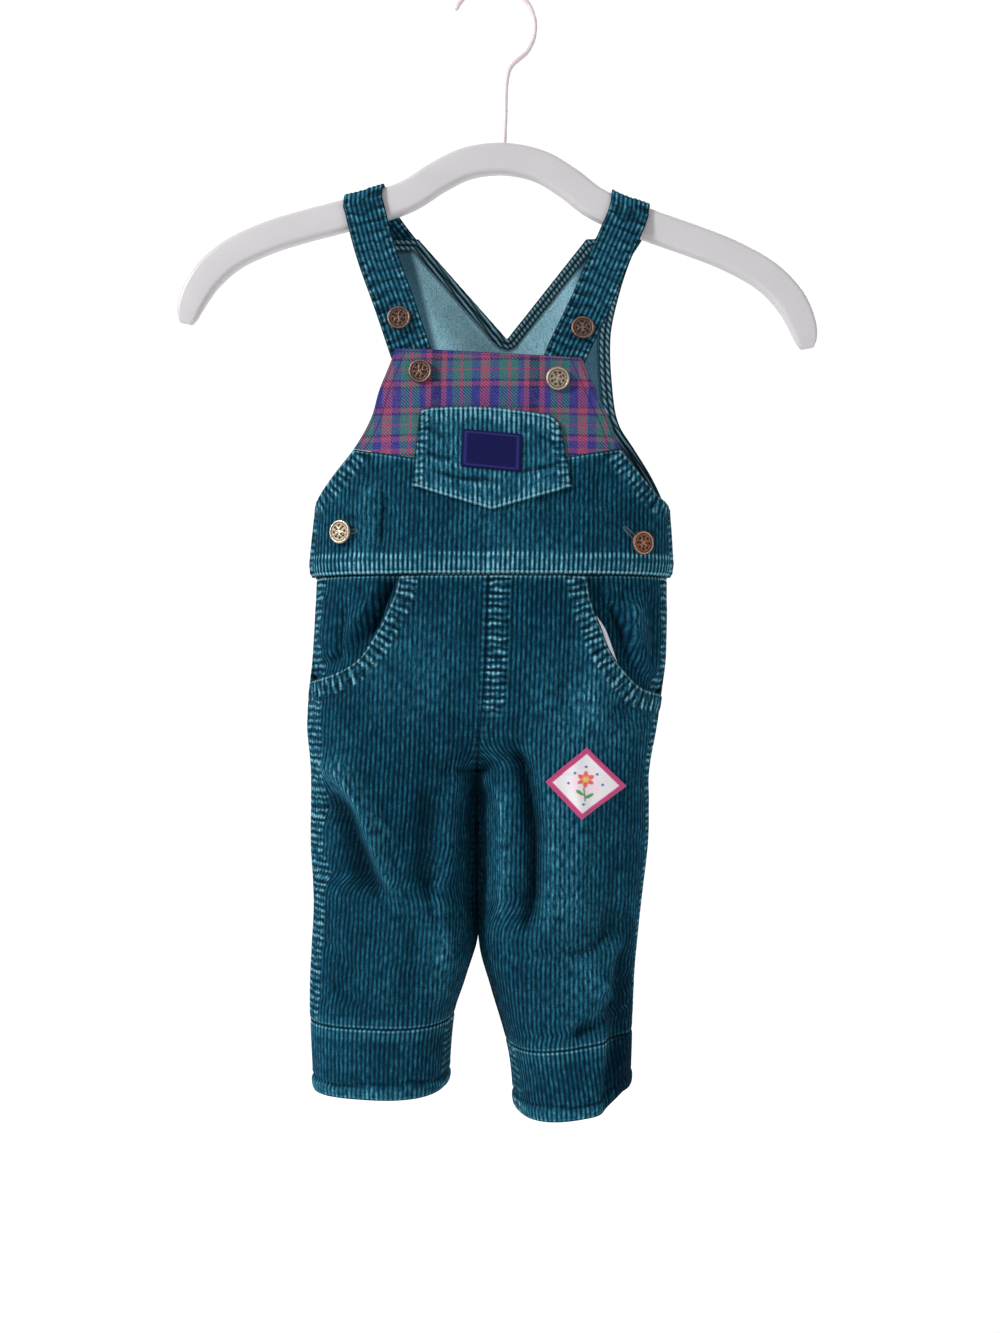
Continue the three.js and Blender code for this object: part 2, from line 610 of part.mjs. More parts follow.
// A patch pocket, a label or a badge: rows of x, z across a shield or diamond, laid on what is under it
function laidOn(surface, rowsDown, columnsAcross, place) {
  return Array.from({ length: rowsDown + 1 }, (_, i) =>
    Array.from({ length: columnsAcross + 1 }, (_, j) => surface(...place(j / columnsAcross, i / rowsDown))),
  );
}
const onFront = (x, z) => onTorso(x, z, "front");
// The pocket's corners, its crowned mouth and its pointed foot
const POCKET = {
  topLeft: [-46.5, -279.6],
  topRight: [39.7, -285],
  footLeft: [-51.7, -329],
  footRight: [47.5, -329.8],
  crown: 3.2,
  point: -15,
};
const onEdge = (from, to, t) => [lerp(from[0], to[0], t), lerp(from[1], to[1], t)];
function pocketPlace(across, down) {
  const left = onEdge(POCKET.topLeft, POCKET.footLeft, down);
  const right = onEdge(POCKET.topRight, POCKET.footRight, down);
  const [x, z] = onEdge(left, right, across);
  const crown = (1 - down) * POCKET.crown * Math.sin(Math.PI * across);
  const point = down * POCKET.point * (1 - Math.abs(2 * across - 1));
  return [x, z + crown + point];
}
const LABEL = { left: -20.5, top: -293, width: 37.5, height: 24, lean: -3.6 };
const labelPlace = (across, down) => [
  LABEL.left + across * LABEL.width - down * 0.8,
  LABEL.top + across * LABEL.lean - down * LABEL.height,
];
const BADGE = { top: [56.8, -491], left: [31, -511.7], foot: [53.1, -535.5], right: [81, -515.2] };
function badgePlace(across, down) {
  const upper = onEdge(BADGE.left, BADGE.top, across);
  const lower = onEdge(BADGE.foot, BADGE.right, across);
  return onEdge(upper, lower, down);
}
// The point of a panel at x, z, between the rows it is built of
function onRows(rows, x, z) {
  const crossing = (row) => {
    let j = 1;
    while (j < row.length - 1 && row[j].point.x < x) j += 1;
    const t = (x - row[j - 1].point.x) / (row[j].point.x - row[j - 1].point.x);
    return between(row[j - 1], row[j], t);
  };
  let i = 1;
  while (i < rows.length - 1 && rows[i][0].point.z > z) i += 1;
  const t = (rows[i - 1][0].point.z - z) / (rows[i - 1][0].point.z - rows[i][0].point.z);
  return between(crossing(rows[i - 1]), crossing(rows[i]), t);
}
const between = (a, b, t) => ({
  point: a.point.clone().lerp(b.point, t),
  normal: a.normal.clone().lerp(b.normal, t).normalize(),
});

// The hanger, level and as yet unturned: half of its centre line, from the middle out
const HANGER = { x: 10, height: 20, depth: 10, corner: 3.5, hookHole: 1.8, hookDepth: 14 };
const HANGER_LINE = [
  [0, -111], [24, -115], [42, -124.5], [62, -138], [100, -151.5], [126, -159.5],
  [150, -168], [174, -180.5], [190, -196], [199, -213], [202, -226],
];
function hangerCurve() {
  const right = HANGER_LINE.map(([x, z]) => new THREE.Vector3(HANGER.x + x, 0, z));
  const left = HANGER_LINE.slice(1).reverse().map(([x, z]) => new THREE.Vector3(HANGER.x - x, 0, z));
  return new THREE.CatmullRomCurve3([...left, ...right]);
}
// The height of the turned hanger's top edge over x, and its slope there
const hangerTop = (() => {
  const points = hangerCurve().getSpacedPoints(400).map((point, i, all) => {
    const tangent = all[Math.min(400, i + 1)].clone().sub(all[Math.max(0, i - 1)]).normalize();
    const up = new THREE.Vector3(-tangent.z, 0, tangent.x);
    const top = point.clone().addScaledVector(up, HANGER.height / 2);
    return top.applyAxisAngle(new THREE.Vector3(0, 1, 0), HANGER_TILT);
  });
  return (x) => {
    let i = 1;
    while (i < points.length - 1 && points[i].x < x) i += 1;
    const [a, b] = [points[i - 1], points[i]];
    return lerp(a.z, b.z, (x - a.x) / (b.x - a.x));
  };
})();
function hangerBody() {
  const curve = hangerCurve();
  const steps = 34;
  const rings = [];
  const shape = [];
  for (const [cx, cz] of [[1, 1], [-1, 1], [-1, -1], [1, -1]]) {
    const start = { "1,1": 0, "-1,1": 90, "-1,-1": 180, "1,-1": 270 }[`${cx},${cz}`];
    for (const turn of [0, 45, 90]) {
      const angle = THREE.MathUtils.degToRad(start + turn);
      shape.push([
        cx * (HANGER.depth / 2 - HANGER.corner) + HANGER.corner * Math.cos(angle),
        cz * (HANGER.height / 2 - HANGER.corner) + HANGER.corner * Math.sin(angle),
      ]);
    }
  }
  for (let i = 0; i <= steps; i += 1) {
    const point = curve.getPointAt(i / steps);
    const tangent = curve.getTangentAt(i / steps);
    const up = new THREE.Vector3(-tangent.z, 0, tangent.x);
    const fromEnd = Math.min(i, steps - i);
    const round = [0.45, 0.8, 0.95][fromEnd] ?? 1;
    const at = ([y, s]) => point.clone().addScaledVector(up, s * round).setY(y * round);
    rings.push(shape.map(at));
  }
  return drill(loft(rings));
}
const manifoldOf = (geometry) => {
  const bare = geometry.toNonIndexed().deleteAttribute("normal").deleteAttribute("uv");
  const merged = mergeVertices(bare, 1e-3);
  const vertProperties = merged.attributes.position.array;
  const triVerts = new Uint32Array(merged.index.array);
  return new wasm.Manifold(new wasm.Mesh({ numProp: 3, vertProperties, triVerts }));
};
function geometryOf(solid) {
  const { vertProperties, triVerts } = solid.getMesh();
  return facingOut(Array.from(vertProperties), Array.from(triVerts));
}
// The hole in the hanger's top that the hook's wire is set in
function drill(geometry) {
  const bar = new THREE.CylinderGeometry(HANGER.hookHole, HANGER.hookHole, HANGER.hookDepth * 2, 12);
  bar.rotateX(Math.PI / 2).translate(HANGER.x, 0, HANGER_LINE[0][1] + HANGER.height / 2);
  return geometryOf(manifoldOf(geometry).subtract(manifoldOf(bar)));
}
// The hook: a wire with an open loop, an easy bend and a shank
const HOOK = { wire: 1.5, radius: 27, tip: 158 };
function hangerHook() {
  const points = [];
  const centre = -(HOOK.radius - HOOK.wire);
  for (let angle = HOOK.tip; angle >= -36; angle -= 9.7) {
    const turn = THREE.MathUtils.degToRad(angle);
    points.push(new THREE.Vector3(HOOK.radius * Math.cos(turn), 0, centre + HOOK.radius * Math.sin(turn)));
  }
  points.push(new THREE.Vector3(HANGER.x + 2.2, 0, -51));
  points.push(new THREE.Vector3(HANGER.x, 0, -60));
  points.push(new THREE.Vector3(HANGER.x, 0, -84));
  points.push(new THREE.Vector3(HANGER.x, 0, HANGER_LINE[0][1] + HANGER.height / 2 - HANGER.hookDepth + 2));
  const curve = new THREE.CatmullRomCurve3(points);
  const steps = 40;
  const sides = 8;
  const rings = Array.from({ length: steps + 1 }, (_, i) => {
    const point = curve.getPointAt(i / steps);
    const tangent = curve.getTangentAt(i / steps);
    const up = new THREE.Vector3(-tangent.z, 0, tangent.x);
    return Array.from({ length: sides }, (_, k) => {
      const angle = (2 * Math.PI * k) / sides;
      const out = up.clone().multiplyScalar(HOOK.wire * Math.cos(angle));
      return point.clone().add(out).add(new THREE.Vector3(0, HOOK.wire * Math.sin(angle), 0));
    });
  });
  return loft(rings);
}

// Each strap's middle line: on the front by x at a height, and on the back down to its ear
const STRAPS = {
  left: {
    front: [
      { z: -140, x: -85.8 }, { z: -175, x: -76.5 }, { z: -211, x: -63.8 },
      { z: -240, x: -54 }, { z: -257, x: -47.5 }, { z: -280, x: -41 },
    ],
    back: [{ z: -140, x: -84 }, { z: -160, x: -68.5 }, { z: -178, x: -53.8 }, { z: -200, x: -38.5 }],
  },
  right: {
    front: [
      { z: -140, x: 90 }, { z: -175, x: 75 }, { z: -211, x: 60 },
      { z: -241, x: 46 }, { z: -260, x: 39 }, { z: -282, x: 34 },
    ],
    back: [{ z: -144, x: 92 }, { z: -160, x: 81.5 }, { z: -178, x: 67.5 }, { z: -200, x: 51 }],
  },
};
const BAR_CLEAR = 0.5;
// How far forward the strap's inner face hangs between the bar and the bib
const hangY = (z) => lerp(-(HANGER.depth / 2 + BAR_CLEAR), -19, clamp01((-146 - z) / 88));
function strapFrontY(x, z) {
  const bib = onTorso(x, z, "front").point.y + STRAP_CLOTH + LAY;
  return lerp(hangY(z), bib, smooth((-208 - z) / 24));
}
function strapBackY(x, z) {
  const ear = onTorso(x, z, "back").point.y + CORDUROY + LAY;
  return lerp(HANGER.depth / 2 + BAR_CLEAR, ear, smooth((-138 - z) / 16));
}
function strap(side) {
  const [frontX, backX] = [column(STRAPS[side].front, "x"), column(STRAPS[side].back, "x")];
  const acrossSteps = [-0.5, -0.25, 0, 0.25, 0.5].map((share) => share * STRAP_WIDTH);
  const barX = (frontX(-140) + backX(-144)) / 2;
  const barSlope = (hangerTop(barX + 9) - hangerTop(barX - 9)) / 18;
  const under = 7;
  const barZ = hangerTop(barX) - under;
  const rows = [];
  const station = (x, z, slope, yAt, normalAt) => {
    const along = new THREE.Vector2(1, slope).normalize();
    rows.push(
      acrossSteps.map((step) => {
        const [px, pz] = [x + along.x * step, z + along.y * step];
        return { point: new THREE.Vector3(px, yAt(px, pz), pz), normal: normalAt(px, pz) };
      }),
    );
  };
  const lastFront = STRAPS[side].front[STRAPS[side].front.length - 1].z;
  for (const z of evenly(lastFront, barZ - 5, 13)) {
    const slope = -(frontX(z + 3) - frontX(z - 3)) / 6;
    station(frontX(z), z, slope, strapFrontY, () => new THREE.Vector3(0, -1, 0));
  }
  for (let k = 0; k <= 6; k += 1) {
    const angle = THREE.MathUtils.degToRad(-90 + 30 * k);
    const [reachY, reachZ] = [HANGER.depth / 2 + BAR_CLEAR, under + BAR_CLEAR];
    const x = lerp(frontX(barZ), backX(barZ), k / 6);
    const normal = new THREE.Vector3(0, Math.sin(angle), Math.cos(angle));
    const rise = Math.max(0, Math.cos(angle)) ** 0.5;
    const y = Math.sign(Math.sin(angle)) * Math.abs(Math.sin(angle)) ** 0.5 * reachY;
    const along = new THREE.Vector2(1, barSlope).normalize();
    rows.push(
      acrossSteps.map((step) => {
        const px = x + along.x * step;
        const point = new THREE.Vector3(px, y, hangerTop(px) - under + rise * reachZ);
        return { point, normal: normal.clone() };
      }),
    );
  }
  const lastBack = STRAPS[side].back[STRAPS[side].back.length - 1].z;
  for (const z of evenly(barZ - 5, lastBack, 8)) {
    const turned = smooth((barZ - z) / 22);
    const slope = lerp(barSlope, -(backX(z + 3) - backX(z - 3)) / 6, turned);
    station(backX(z), z, slope, strapBackY, () => new THREE.Vector3(0, 1, 0));
  }
  return rows;
}

// A tack button: a neck, and a cap with a raised rim, a shallow dish and four blind holes
const BUTTON_PROFILE = [
  [0, 0], [3, 0], [3, 1.3], [6.6, 1.5], [BUTTON_RADIUS, 2.2],
  [7.3, 3], [6.6, 3.5], [5.8, 3.1], [3, 3.3], [0, 3.4],
];
const BUTTON_HOLES = { radius: 0.75, circle: 2.3, depth: 0.9 };
function buttonSolid() {
  const profile = BUTTON_PROFILE.map(([r, h]) => new THREE.Vector2(r, h));
  let solid = manifoldOf(new THREE.LatheGeometry(profile, 12));
  for (let k = 0; k < 4; k += 1) {
    const { radius, circle, depth } = BUTTON_HOLES;
    const hole = new THREE.CylinderGeometry(radius, radius, depth * 2, 5);
    const angle = Math.PI * (0.25 + 0.5 * k);
    hole.translate(circle * Math.cos(angle), 3.35, circle * Math.sin(angle));
    solid = solid.subtract(manifoldOf(hole));
  }
  return geometryOf(solid);
}
const BUTTON_GAP = 0.5;
// Stands a button on the outer face of what carries it, with its axis along the normal there
function button(name, { point, normal }, lift, spin) {
  const mesh = add(name, buttonSolid(), "button");
  mesh.position.copy(point).addScaledVector(normal, lift + BUTTON_GAP);
  mesh.quaternion.setFromUnitVectors(new THREE.Vector3(0, 1, 0), normal);
  mesh.rotateY(spin);
}

const hanger = new THREE.Group();
hanger.rotation.y = HANGER_TILT;
overalls.add(hanger);
add("hanger_body", hangerBody(), "hanger", hanger);
add("hanger_hook", hangerHook(), "hook", hanger);

for (const side of ["left", "right"]) {
  add(`${side}_strap`, wall(strap(side), STRAP_CLOTH, STRAP_CLOTH), "corduroy");
  add(`front_${side}_leg`, wall(frontLeg(side), CORDUROY), "corduroy");
  add(`back_${side}_leg`, wall(backLeg(side), CORDUROY), "corduroy");
  add(`${side}_hem`, wall(hem(side), HEM_CLOTH, 0.3, true), "corduroy");
  add(`${side}_pocket_facing`, wall(pocketFacing(side), CORDUROY), "corduroy");
}
add("right_pocket_lining", wall(pocketLining(), LINING), "lining");
add("front_bib", wall(frontBib(), CORDUROY, CORDUROY), "corduroy");
add("bib_yoke", wall(bibYoke(), FLANNEL, CORDUROY), "flannel");
add("back_bib", wall(backBib(), CORDUROY, CORDUROY), "corduroy");
const pocketLift = 2 * CORDUROY + SEAM + 0.1;
add("bib_pocket", wall(laidOn(onFront, 6, 12, pocketPlace), CORDUROY, pocketLift), "corduroy");
const labelLift = pocketLift + SEAM + LINING;
add("bib_label", wall(laidOn(onFront, 3, 5, labelPlace), LINING, labelLift), "label");
const rightLegRows = frontLeg("right");
const onRightLeg = (x, z) => onRows(rightLegRows, x, z);
add("leg_badge", wall(laidOn(onRightLeg, 7, 7, badgePlace), LINING, LINING + 1.5), "patch");

// The strap buttons, the two that hold the straps through the bib, and the two at the side openings
function onStrap(x, z) {
  const slope = (strapFrontY(x, z + 5) - strapFrontY(x, z - 5)) / 10;
  const normal = new THREE.Vector3(0, -1, slope).normalize();
  return { point: new THREE.Vector3(x, strapFrontY(x, z), z), normal };
}
button("strap_button_left", onStrap(-61.1, -220), STRAP_CLOTH, 0.3);
button("strap_button_right", onStrap(55.6, -227), STRAP_CLOTH, 0.1);
button("bib_button_left", onFront(-46.7, -255.5), CORDUROY, 0.5);
button("bib_button_right", onFront(39, -260.5), CORDUROY, -0.35);
button("side_button_left", onFront(-94.5, -357), CORDUROY + 0.4, 0.1);
button("side_button_right", onFront(90, -364), CORDUROY + 0.4, 0.75);

export default overalls;
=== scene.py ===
# The looks of a toddler's bib overalls in wide-wale corduroy, hanging from a plain coat hanger.
# Sizes are in millimetres, as in the part's source, and a mesh turns them into metres.
import math

import bpy
import numpy as np
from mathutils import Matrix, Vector


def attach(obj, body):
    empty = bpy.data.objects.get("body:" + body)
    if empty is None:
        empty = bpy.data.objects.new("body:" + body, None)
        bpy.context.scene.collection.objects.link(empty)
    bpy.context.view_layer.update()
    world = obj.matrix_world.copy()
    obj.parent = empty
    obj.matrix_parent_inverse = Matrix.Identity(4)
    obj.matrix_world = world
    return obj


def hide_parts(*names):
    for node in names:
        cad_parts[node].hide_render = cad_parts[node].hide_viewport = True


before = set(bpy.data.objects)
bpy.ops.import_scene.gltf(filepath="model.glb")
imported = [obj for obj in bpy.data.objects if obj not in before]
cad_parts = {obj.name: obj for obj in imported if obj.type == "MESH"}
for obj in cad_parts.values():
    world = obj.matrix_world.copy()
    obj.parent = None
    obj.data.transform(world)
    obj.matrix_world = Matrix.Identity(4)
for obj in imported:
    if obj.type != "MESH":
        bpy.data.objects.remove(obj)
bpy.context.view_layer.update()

MM = 0.001

# Cloth
CORDUROY = 1.8
FLANNEL = 1.6
STRAP_CLOTH = 2.4
HEM_CLOTH = 2.4
LINING = 1.0
SEAM = 0.3
SIDE_SEAM = 0.7
SEAM_LAP = 0.06
LAY = 0.8
FACING_GAP = 2.3
WALE = 3.0
WALE_DEPTH = 0.5
STEP = WALE / 4
ROW = 2.4

# The garment
STRAP_WIDTH = 26
WAIST_Z = -384
CROTCH_Z = -508
ARMHOLE_Z = -338
BUTTON_GAP = 0.5
ROUNDNESS = 2.6
SAMPLES = 384
DROOP_FROM_Z = -600
THIGH_PRESS = 3
THIGH_PRESS_Y = 12
THIGH_PART = 2.5
HITCH_FROM_X = 68
FRONT_RISE = 62
BACK_RISE = 104
WAIST_STEP = 1.3
MOUTH_DEPTH = 3
FACING_UNDERLAP = 13
HANGER_TILT = math.radians(2.3)

# The body's sections: z, left side, middle, right side, front, back
TORSO = [
    (-130, -100, 1, 104, -9, 5),
    (-200, -101, 0, 105, -17, 18),
    (-240, -104, -1, 106, -25, 26),
    (-300, -111, -2, 109, -35, 34),
    (-340, -114.5, -3, 111, -42, 40),
    (-380, -118, -4, 113, -48, 46),
    (-427, -117, -5.5, 110.5, -51, 51),
    (-456, -119, -7, 106.5, -51, 52),
    (-476, -121, -9, 104.6, -50, 52),
    (-495, -119, -11, 101.4, -48, 50),
    (CROTCH_Z, -118.4, -12, 99, -46, 48),
]
# Each leg's sections: z, outer side, inner side, front, back, turn outwards in degrees
LEG_SECTIONS = {
    "left": [
        (-300, -111, -2, -35, 34, 0),
        (-427, -117, -5.7, -51, 51, 0),
        (-476, -121, -9.2, -50, 52, 0),
        (CROTCH_Z, -118.4, -11.9, -46, 48, 0),
        (-528, -118.2, -12.3, -44, 45, 3),
        (-553, -118.4, -12.6, -42, 43, 6),
        (-592, -116.5, -12.8, -40, 40, 9),
        (-621, -118, -13.6, -39, 38, 11),
        (-645, -119, -20, -38, 36, 13),
        (-667, -118.5, -27, -38, 35, 15),
        (-711, -116, -31, -38, 34, 16),
    ],
    "right": [
        (-300, 109, -2, -35, 34, 0),
        (-427, 110.5, -5.3, -51, 51, 0),
        (-476, 104.6, -8.8, -50, 52, 0),
        (CROTCH_Z, 99, -12.1, -46, 48, 0),
        (-528, 98.6, -12.1, -45, 46, 3),
        (-553, 98, -11.6, -44, 44, 6),
        (-592, 93.5, -11.4, -42, 42, 10),
        (-621, 90.5, -10, -41, 41, 13),
        (-645, 88.5, -2.5, -40, 39, 15),
        (-668, 87, 5, -40, 38, 16),
        (-690, 86, 10.5, -40, 37, 16),
        (-723, 85, 14, -40, 37, 16),
    ],
}
# The grain lines are where a wale runs straight down each panel: z, x on the front, x on the back
LEGS = {
    "left": dict(sign=-1, seam_z=-667, hem_z=-711, side=0.462, droop=0.02,
                 hitch=0, grain=[(-384, -60, -60), (-508, -64, -62), (-667, -74, -74)]),
    "right": dict(sign=1, seam_z=-679, hem_z=-723, side=0.48, droop=0.11,
                  hitch=11, grain=[(-384, 52, 52), (-508, 48, 48), (-679, 48, 48)]),
}

# The free edges: z, x on the left, x on the right
BIB_EDGES = [
    (-241, -63, 52.5), (-254, -68, 58), (-267, -73, 63.5), (-285, -78, 71.5),
    (-303, -88, 78.5), (-320, -102, 91.5), (-334, -112.6, 103.5), (-342, -114.2, 110),
]
BACK_EDGES = [
    (-158, -84, 97), (-172, -75, 89.5), (-196, -66, 81.5), (-223, -61, 76.3), (-262, -66, 78.5),
    (-280, -72, 82.5), (-296, -82, 92), (-312, -94, 101), (-326, -106, 107), (-340, -114.4, 110.9),
]
SCOOPS = {
    "left": [(-376, -58), (-395, -62), (-406, -66.5), (-417, -72), (-427, -78), (-435, -84),
             (-441, -92), (-446, -103), (-450, -117)],
    "right": [(-376, 55.5), (-395, 58.6), (-406, 61.5), (-417, 66), (-428, 70), (-436, 74.5),
              (-445, 82), (-454, 92), (-459, 107)],
}
NECK_X, NECK_Z, EAR_Z = 7.8, -223, -160.5
NECK_SLOPES = {"left": -0.93, "right": 0.83}
SIDE_ANGLE = math.radians(87)
UNDERLAP = math.radians(11)

# Folds, and then smaller creases, on each face of a panel: height, width, and the line of x, z
FOLDS = {
    ("left", "front"): [
        (5.5, 9, [(-116, -499), (-91, -509), (-80, -531), (-69, -563), (-44, -604)]),
        (-4.5, 10, [(-112, -517), (-97, -530), (-88, -556), (-74, -588)]),
        (-3.5, 8, [(-38, -508), (-41, -554), (-43, -592)]),
        (3, 9, [(-34, -598), (-30, -630), (-36, -655)]),
        (2.6, 8, [(-20, -390), (-25, -425), (-29, -462), (-31, -492)]),
        (-2.2, 6, [(-104, -640), (-84, -652)]), (2.4, 9, [(-60, -625), (-72, -655)]),
        (-1.1, 4, [(-92, -470), (-70, -482), (-48, -486)]), (0.9, 4, [(-86, -478), (-64, -491)]),
        (-0.8, 3.5, [(-50, -520), (-56, -545), (-55, -566)]), (0.8, 4, [(-30, -520), (-33, -552)]),
        (-0.9, 4, [(-100, -585), (-84, -604), (-66, -618)]), (0.8, 4, [(-104, -598), (-88, -616)]),
        (-0.8, 4, [(-112, -560), (-100, -571)]), (-0.7, 3.5, [(-48, -640), (-56, -656)]),
        (2.4, 3.6, [(-117, -500), (-94, -508), (-83, -528), (-72, -560), (-50, -600)]),
        (-2.2, 3.5, [(-108, -516), (-93, -532), (-84, -556), (-66, -596)]),
        (1.5, 4, [(-26, -476), (-34, -500), (-40, -530)]),
        (-2.6, 3, [(-15, -490), (-17, -515), (-20, -545), (-22, -590)]),
        (1.8, 4, [(-24, -486), (-27, -520), (-31, -560)]),
        (-1.6, 3, [(-114, -612), (-98, -622), (-82, -640)]), (1.3, 3, [(-108, -646), (-88, -656)]),
        (2.6, 7, [(-118, -498), (-94, -508), (-82, -530), (-70, -563), (-46, -604)]),
        (-3.0, 9, [(-104, -520), (-88, -540), (-76, -572), (-58, -606)]),
        (-2.0, 8, [(-44, -505), (-48, -550), (-46, -596)]),
        (1.6, 6, [(-26, -520), (-27, -560), (-34, -600), (-34, -640)]),
        (-1.0, 4, [(-20, -400), (-24, -440), (-26, -480)]),
        (-2.4, 6, [(-70, -540), (-58, -575), (-50, -612), (-54, -650)]),
        (1.8, 4, [(-84, -520), (-62, -548), (-44, -588), (-36, -618)]),
        (-1.6, 3, [(-36, -560), (-40, -590), (-32, -622)]),
        (1.4, 3.4, [(-30, -604), (-36, -628), (-46, -650)]),
    ],
    ("left", "back"): [
        (4.2, 10, [(-20, -520), (-52, -540), (-88, -548)]),
        (-4, 9, [(-26, -538), (-58, -560), (-92, -568)]),
        (3.4, 10, [(-58, -410), (-50, -450), (-40, -492)]),
        (-3, 9, [(-80, -590), (-60, -620), (-52, -650)]), (-0.9, 4, [(-100, -500), (-76, -512)]),
        (0.8, 4, [(-96, -600), (-76, -622)]),
    ],
    ("right", "front"): [
        (-7.5, 8, [(9, -480), (20, -517), (24, -548), (24, -579), (17, -616)]),
        (3, 9, [(4, -500), (9, -536), (10, -573), (4, -612)]),
        (3.2, 11, [(27, -485), (38, -530), (40, -575), (33, -620)]),
        (-2.2, 7, [(48, -402), (45, -449), (41, -486)]), (2.4, 9, [(58, -452), (63, -480)]),
        (-2.4, 6, [(72, -463), (90, -470)]), (-3.8, 6, [(78, -650), (62, -666), (46, -673)]),
        (3, 8, [(72, -638), (50, -658)]),
        (-6, 5, [(84, -606), (80, -640), (76, -676), (72, -712), (70, -740)]),
        (-2.6, 11, [(28, -622), (60, -614), (88, -592)]),
        (-1.0, 3.5, [(12, -452), (22, -462), (27, -470)]),
        (0.8, 4, [(46, -505), (56, -540), (58, -570)]), (-0.9, 4, [(54, -556), (66, -590), (70, -612)]),
        (0.8, 4, [(76, -560), (82, -600)]), (-0.8, 4, [(86, -545), (94, -560)]),
        (-0.7, 3.5, [(60, -628), (74, -640)]),
        (-4.5, 3.2, [(8, -478), (17, -508), (22, -540), (22, -580), (16, -618)]),
        (2.2, 5, [(16, -470), (28, -505), (33, -545), (32, -590), (26, -625)]),
        (1.6, 3, [(2, -505), (6, -540), (7, -575), (2, -606)]),
        (-2.2, 3, [(80, -600), (62, -618), (40, -622)]),
        (1.6, 3.5, [(84, -612), (66, -630), (44, -634)]),
        (-1.8, 2.6, [(84, -655), (66, -668), (40, -671)]),
        (-3.5, 4, [(86, -634), (83, -664), (80, -704)]),
        (1.6, 6, [(44, -470), (52, -520), (52, -580), (44, -630)]),
        (-1.6, 7, [(70, -520), (76, -570), (72, -620)]),
        (-1.4, 3, [(84, -640), (66, -652), (50, -654), (30, -650)]),
        (1.2, 3, [(82, -646), (62, -660), (44, -662)]),
        (-1.3, 2.4, [(94, -470), (78, -482), (66, -484)]),
        (-1.2, 2.4, [(20, -404), (26, -424), (34, -436)]),
    ],
    ("right", "back"): [
        (4.2, 10, [(-2, -524), (32, -540), (68, -545)]), (-4, 9, [(4, -542), (38, -560), (74, -566)]),
        (-3, 10, [(48, -405), (40, -445), (30, -490)]), (3, 9, [(66, -585), (52, -620), (44, -655)]),
        (-0.9, 4, [(84, -498), (60, -512)]), (0.8, 4, [(84, -604), (64, -628)]),
    ],
    ("torso", "front"): [
        (-2, 6, [(-69, -330), (-67, -352), (-72, -372)]), (1.8, 9, [(-80, -325), (-82, -350)]),
        (-1.8, 8, [(62, -318), (70, -345)]), (-0.7, 4, [(-96, -362), (-82, -374)]),
        (0.6, 4, [(40, -352), (52, -366), (70, -372)]), (-0.6, 3.5, [(-34, -356), (-20, -370)]),
        (-2.0, 1.8, [(-68, -326), (-69.5, -350), (-71, -368)]),
        (-1.3, 3.5, [(-4, -340), (-5, -362), (-4, -382)]),
        (0.9, 3.5, [(3, -340), (3, -362), (4, -382)]),
        (0.9, 3, [(-96, -371), (-60, -369), (-20, -371), (30, -369), (84, -373)]),
        (-0.9, 2.2, [(-80, -340), (-60, -346), (-30, -344)]),
        (-0.9, 2.2, [(14, -344), (40, -338), (66, -340)]),
        (0.8, 3, [(24, -352), (52, -346), (84, -352)]),
    ],
    ("torso", "back"): [
        (3, 12, [(-48, -262), (-30, -318), (-36, -368)]),
        (-2.6, 12, [(34, -255), (28, -310), (36, -365)]), (2.4, 10, [(70, -300), (62, -350)]),
        (-0.9, 5, [(-72, -300), (-58, -330)]), (0.8, 5, [(10, -280), (4, -320)]),
    ],
}


def smooth(t):
    t = np.clip(t, 0, 1)
    return t * t * (3 - 2 * t)


def lerp(a, b, t):
    return a + (b - a) * t


def column(rows, place):
    """One column of a table of rows that start with z, as a smooth function of z."""
    table = np.array(sorted(rows), float)
    z, value = table[:, 0], table[:, place]
    before = np.maximum(np.arange(len(z)) - 1, 0)
    after = np.minimum(np.arange(len(z)) + 1, len(z) - 1)
    slope = (value[after] - value[before]) / (z[after] - z[before])

    def at(height):
        height = np.asarray(height, float)
        i = np.clip(np.searchsorted(z, height) - 1, 0, len(z) - 2)
        span = z[i + 1] - z[i]
        t = np.clip((height - z[i]) / span, 0, 1)
        bend = (slope[i] * (t - 1) + slope[i + 1] * t) * t * (t - 1) * span
        return lerp(value[i], value[i + 1], t * t * (3 - 2 * t)) + bend

    return at


torso_left, torso_middle, torso_right, torso_front, torso_back = (column(TORSO, k) for k in range(1, 6))
bib_left, bib_right = column(BIB_EDGES, 1), column(BIB_EDGES, 2)
back_left, back_right = column(BACK_EDGES, 1), column(BACK_EDGES, 2)


def near_line(line, x, z):
    """How far x, z are from a line, and the share of the way along at which they are nearest."""
    distance = np.full(np.shape(x), np.inf)
    along = np.zeros(np.shape(x))
    for i, ((x0, z0), (x1, z1)) in enumerate(zip(line, line[1:])):
        length = max((x1 - x0) ** 2 + (z1 - z0) ** 2, 1e-9)
        t = np.clip(((x - x0) * (x1 - x0) + (z - z0) * (z1 - z0)) / length, 0, 1)
        away = np.hypot(x - lerp(x0, x1, t), z - lerp(z0, z1, t))
        nearer = away < distance
        distance = np.where(nearer, away, distance)
        along = np.where(nearer, (i + t) / (len(line) - 1), along)
    return distance, along


def run_along(line, x, z):
    """How far along a line, by its length, x, z is nearest."""
    ends = np.array(line, float)
    run = np.concatenate([[0], np.cumsum(np.hypot(*np.diff(ends, axis=0).T))])
    share = near_line(line, x, z)[1] * (len(line) - 1)
    return np.interp(share, np.arange(len(line)), run)


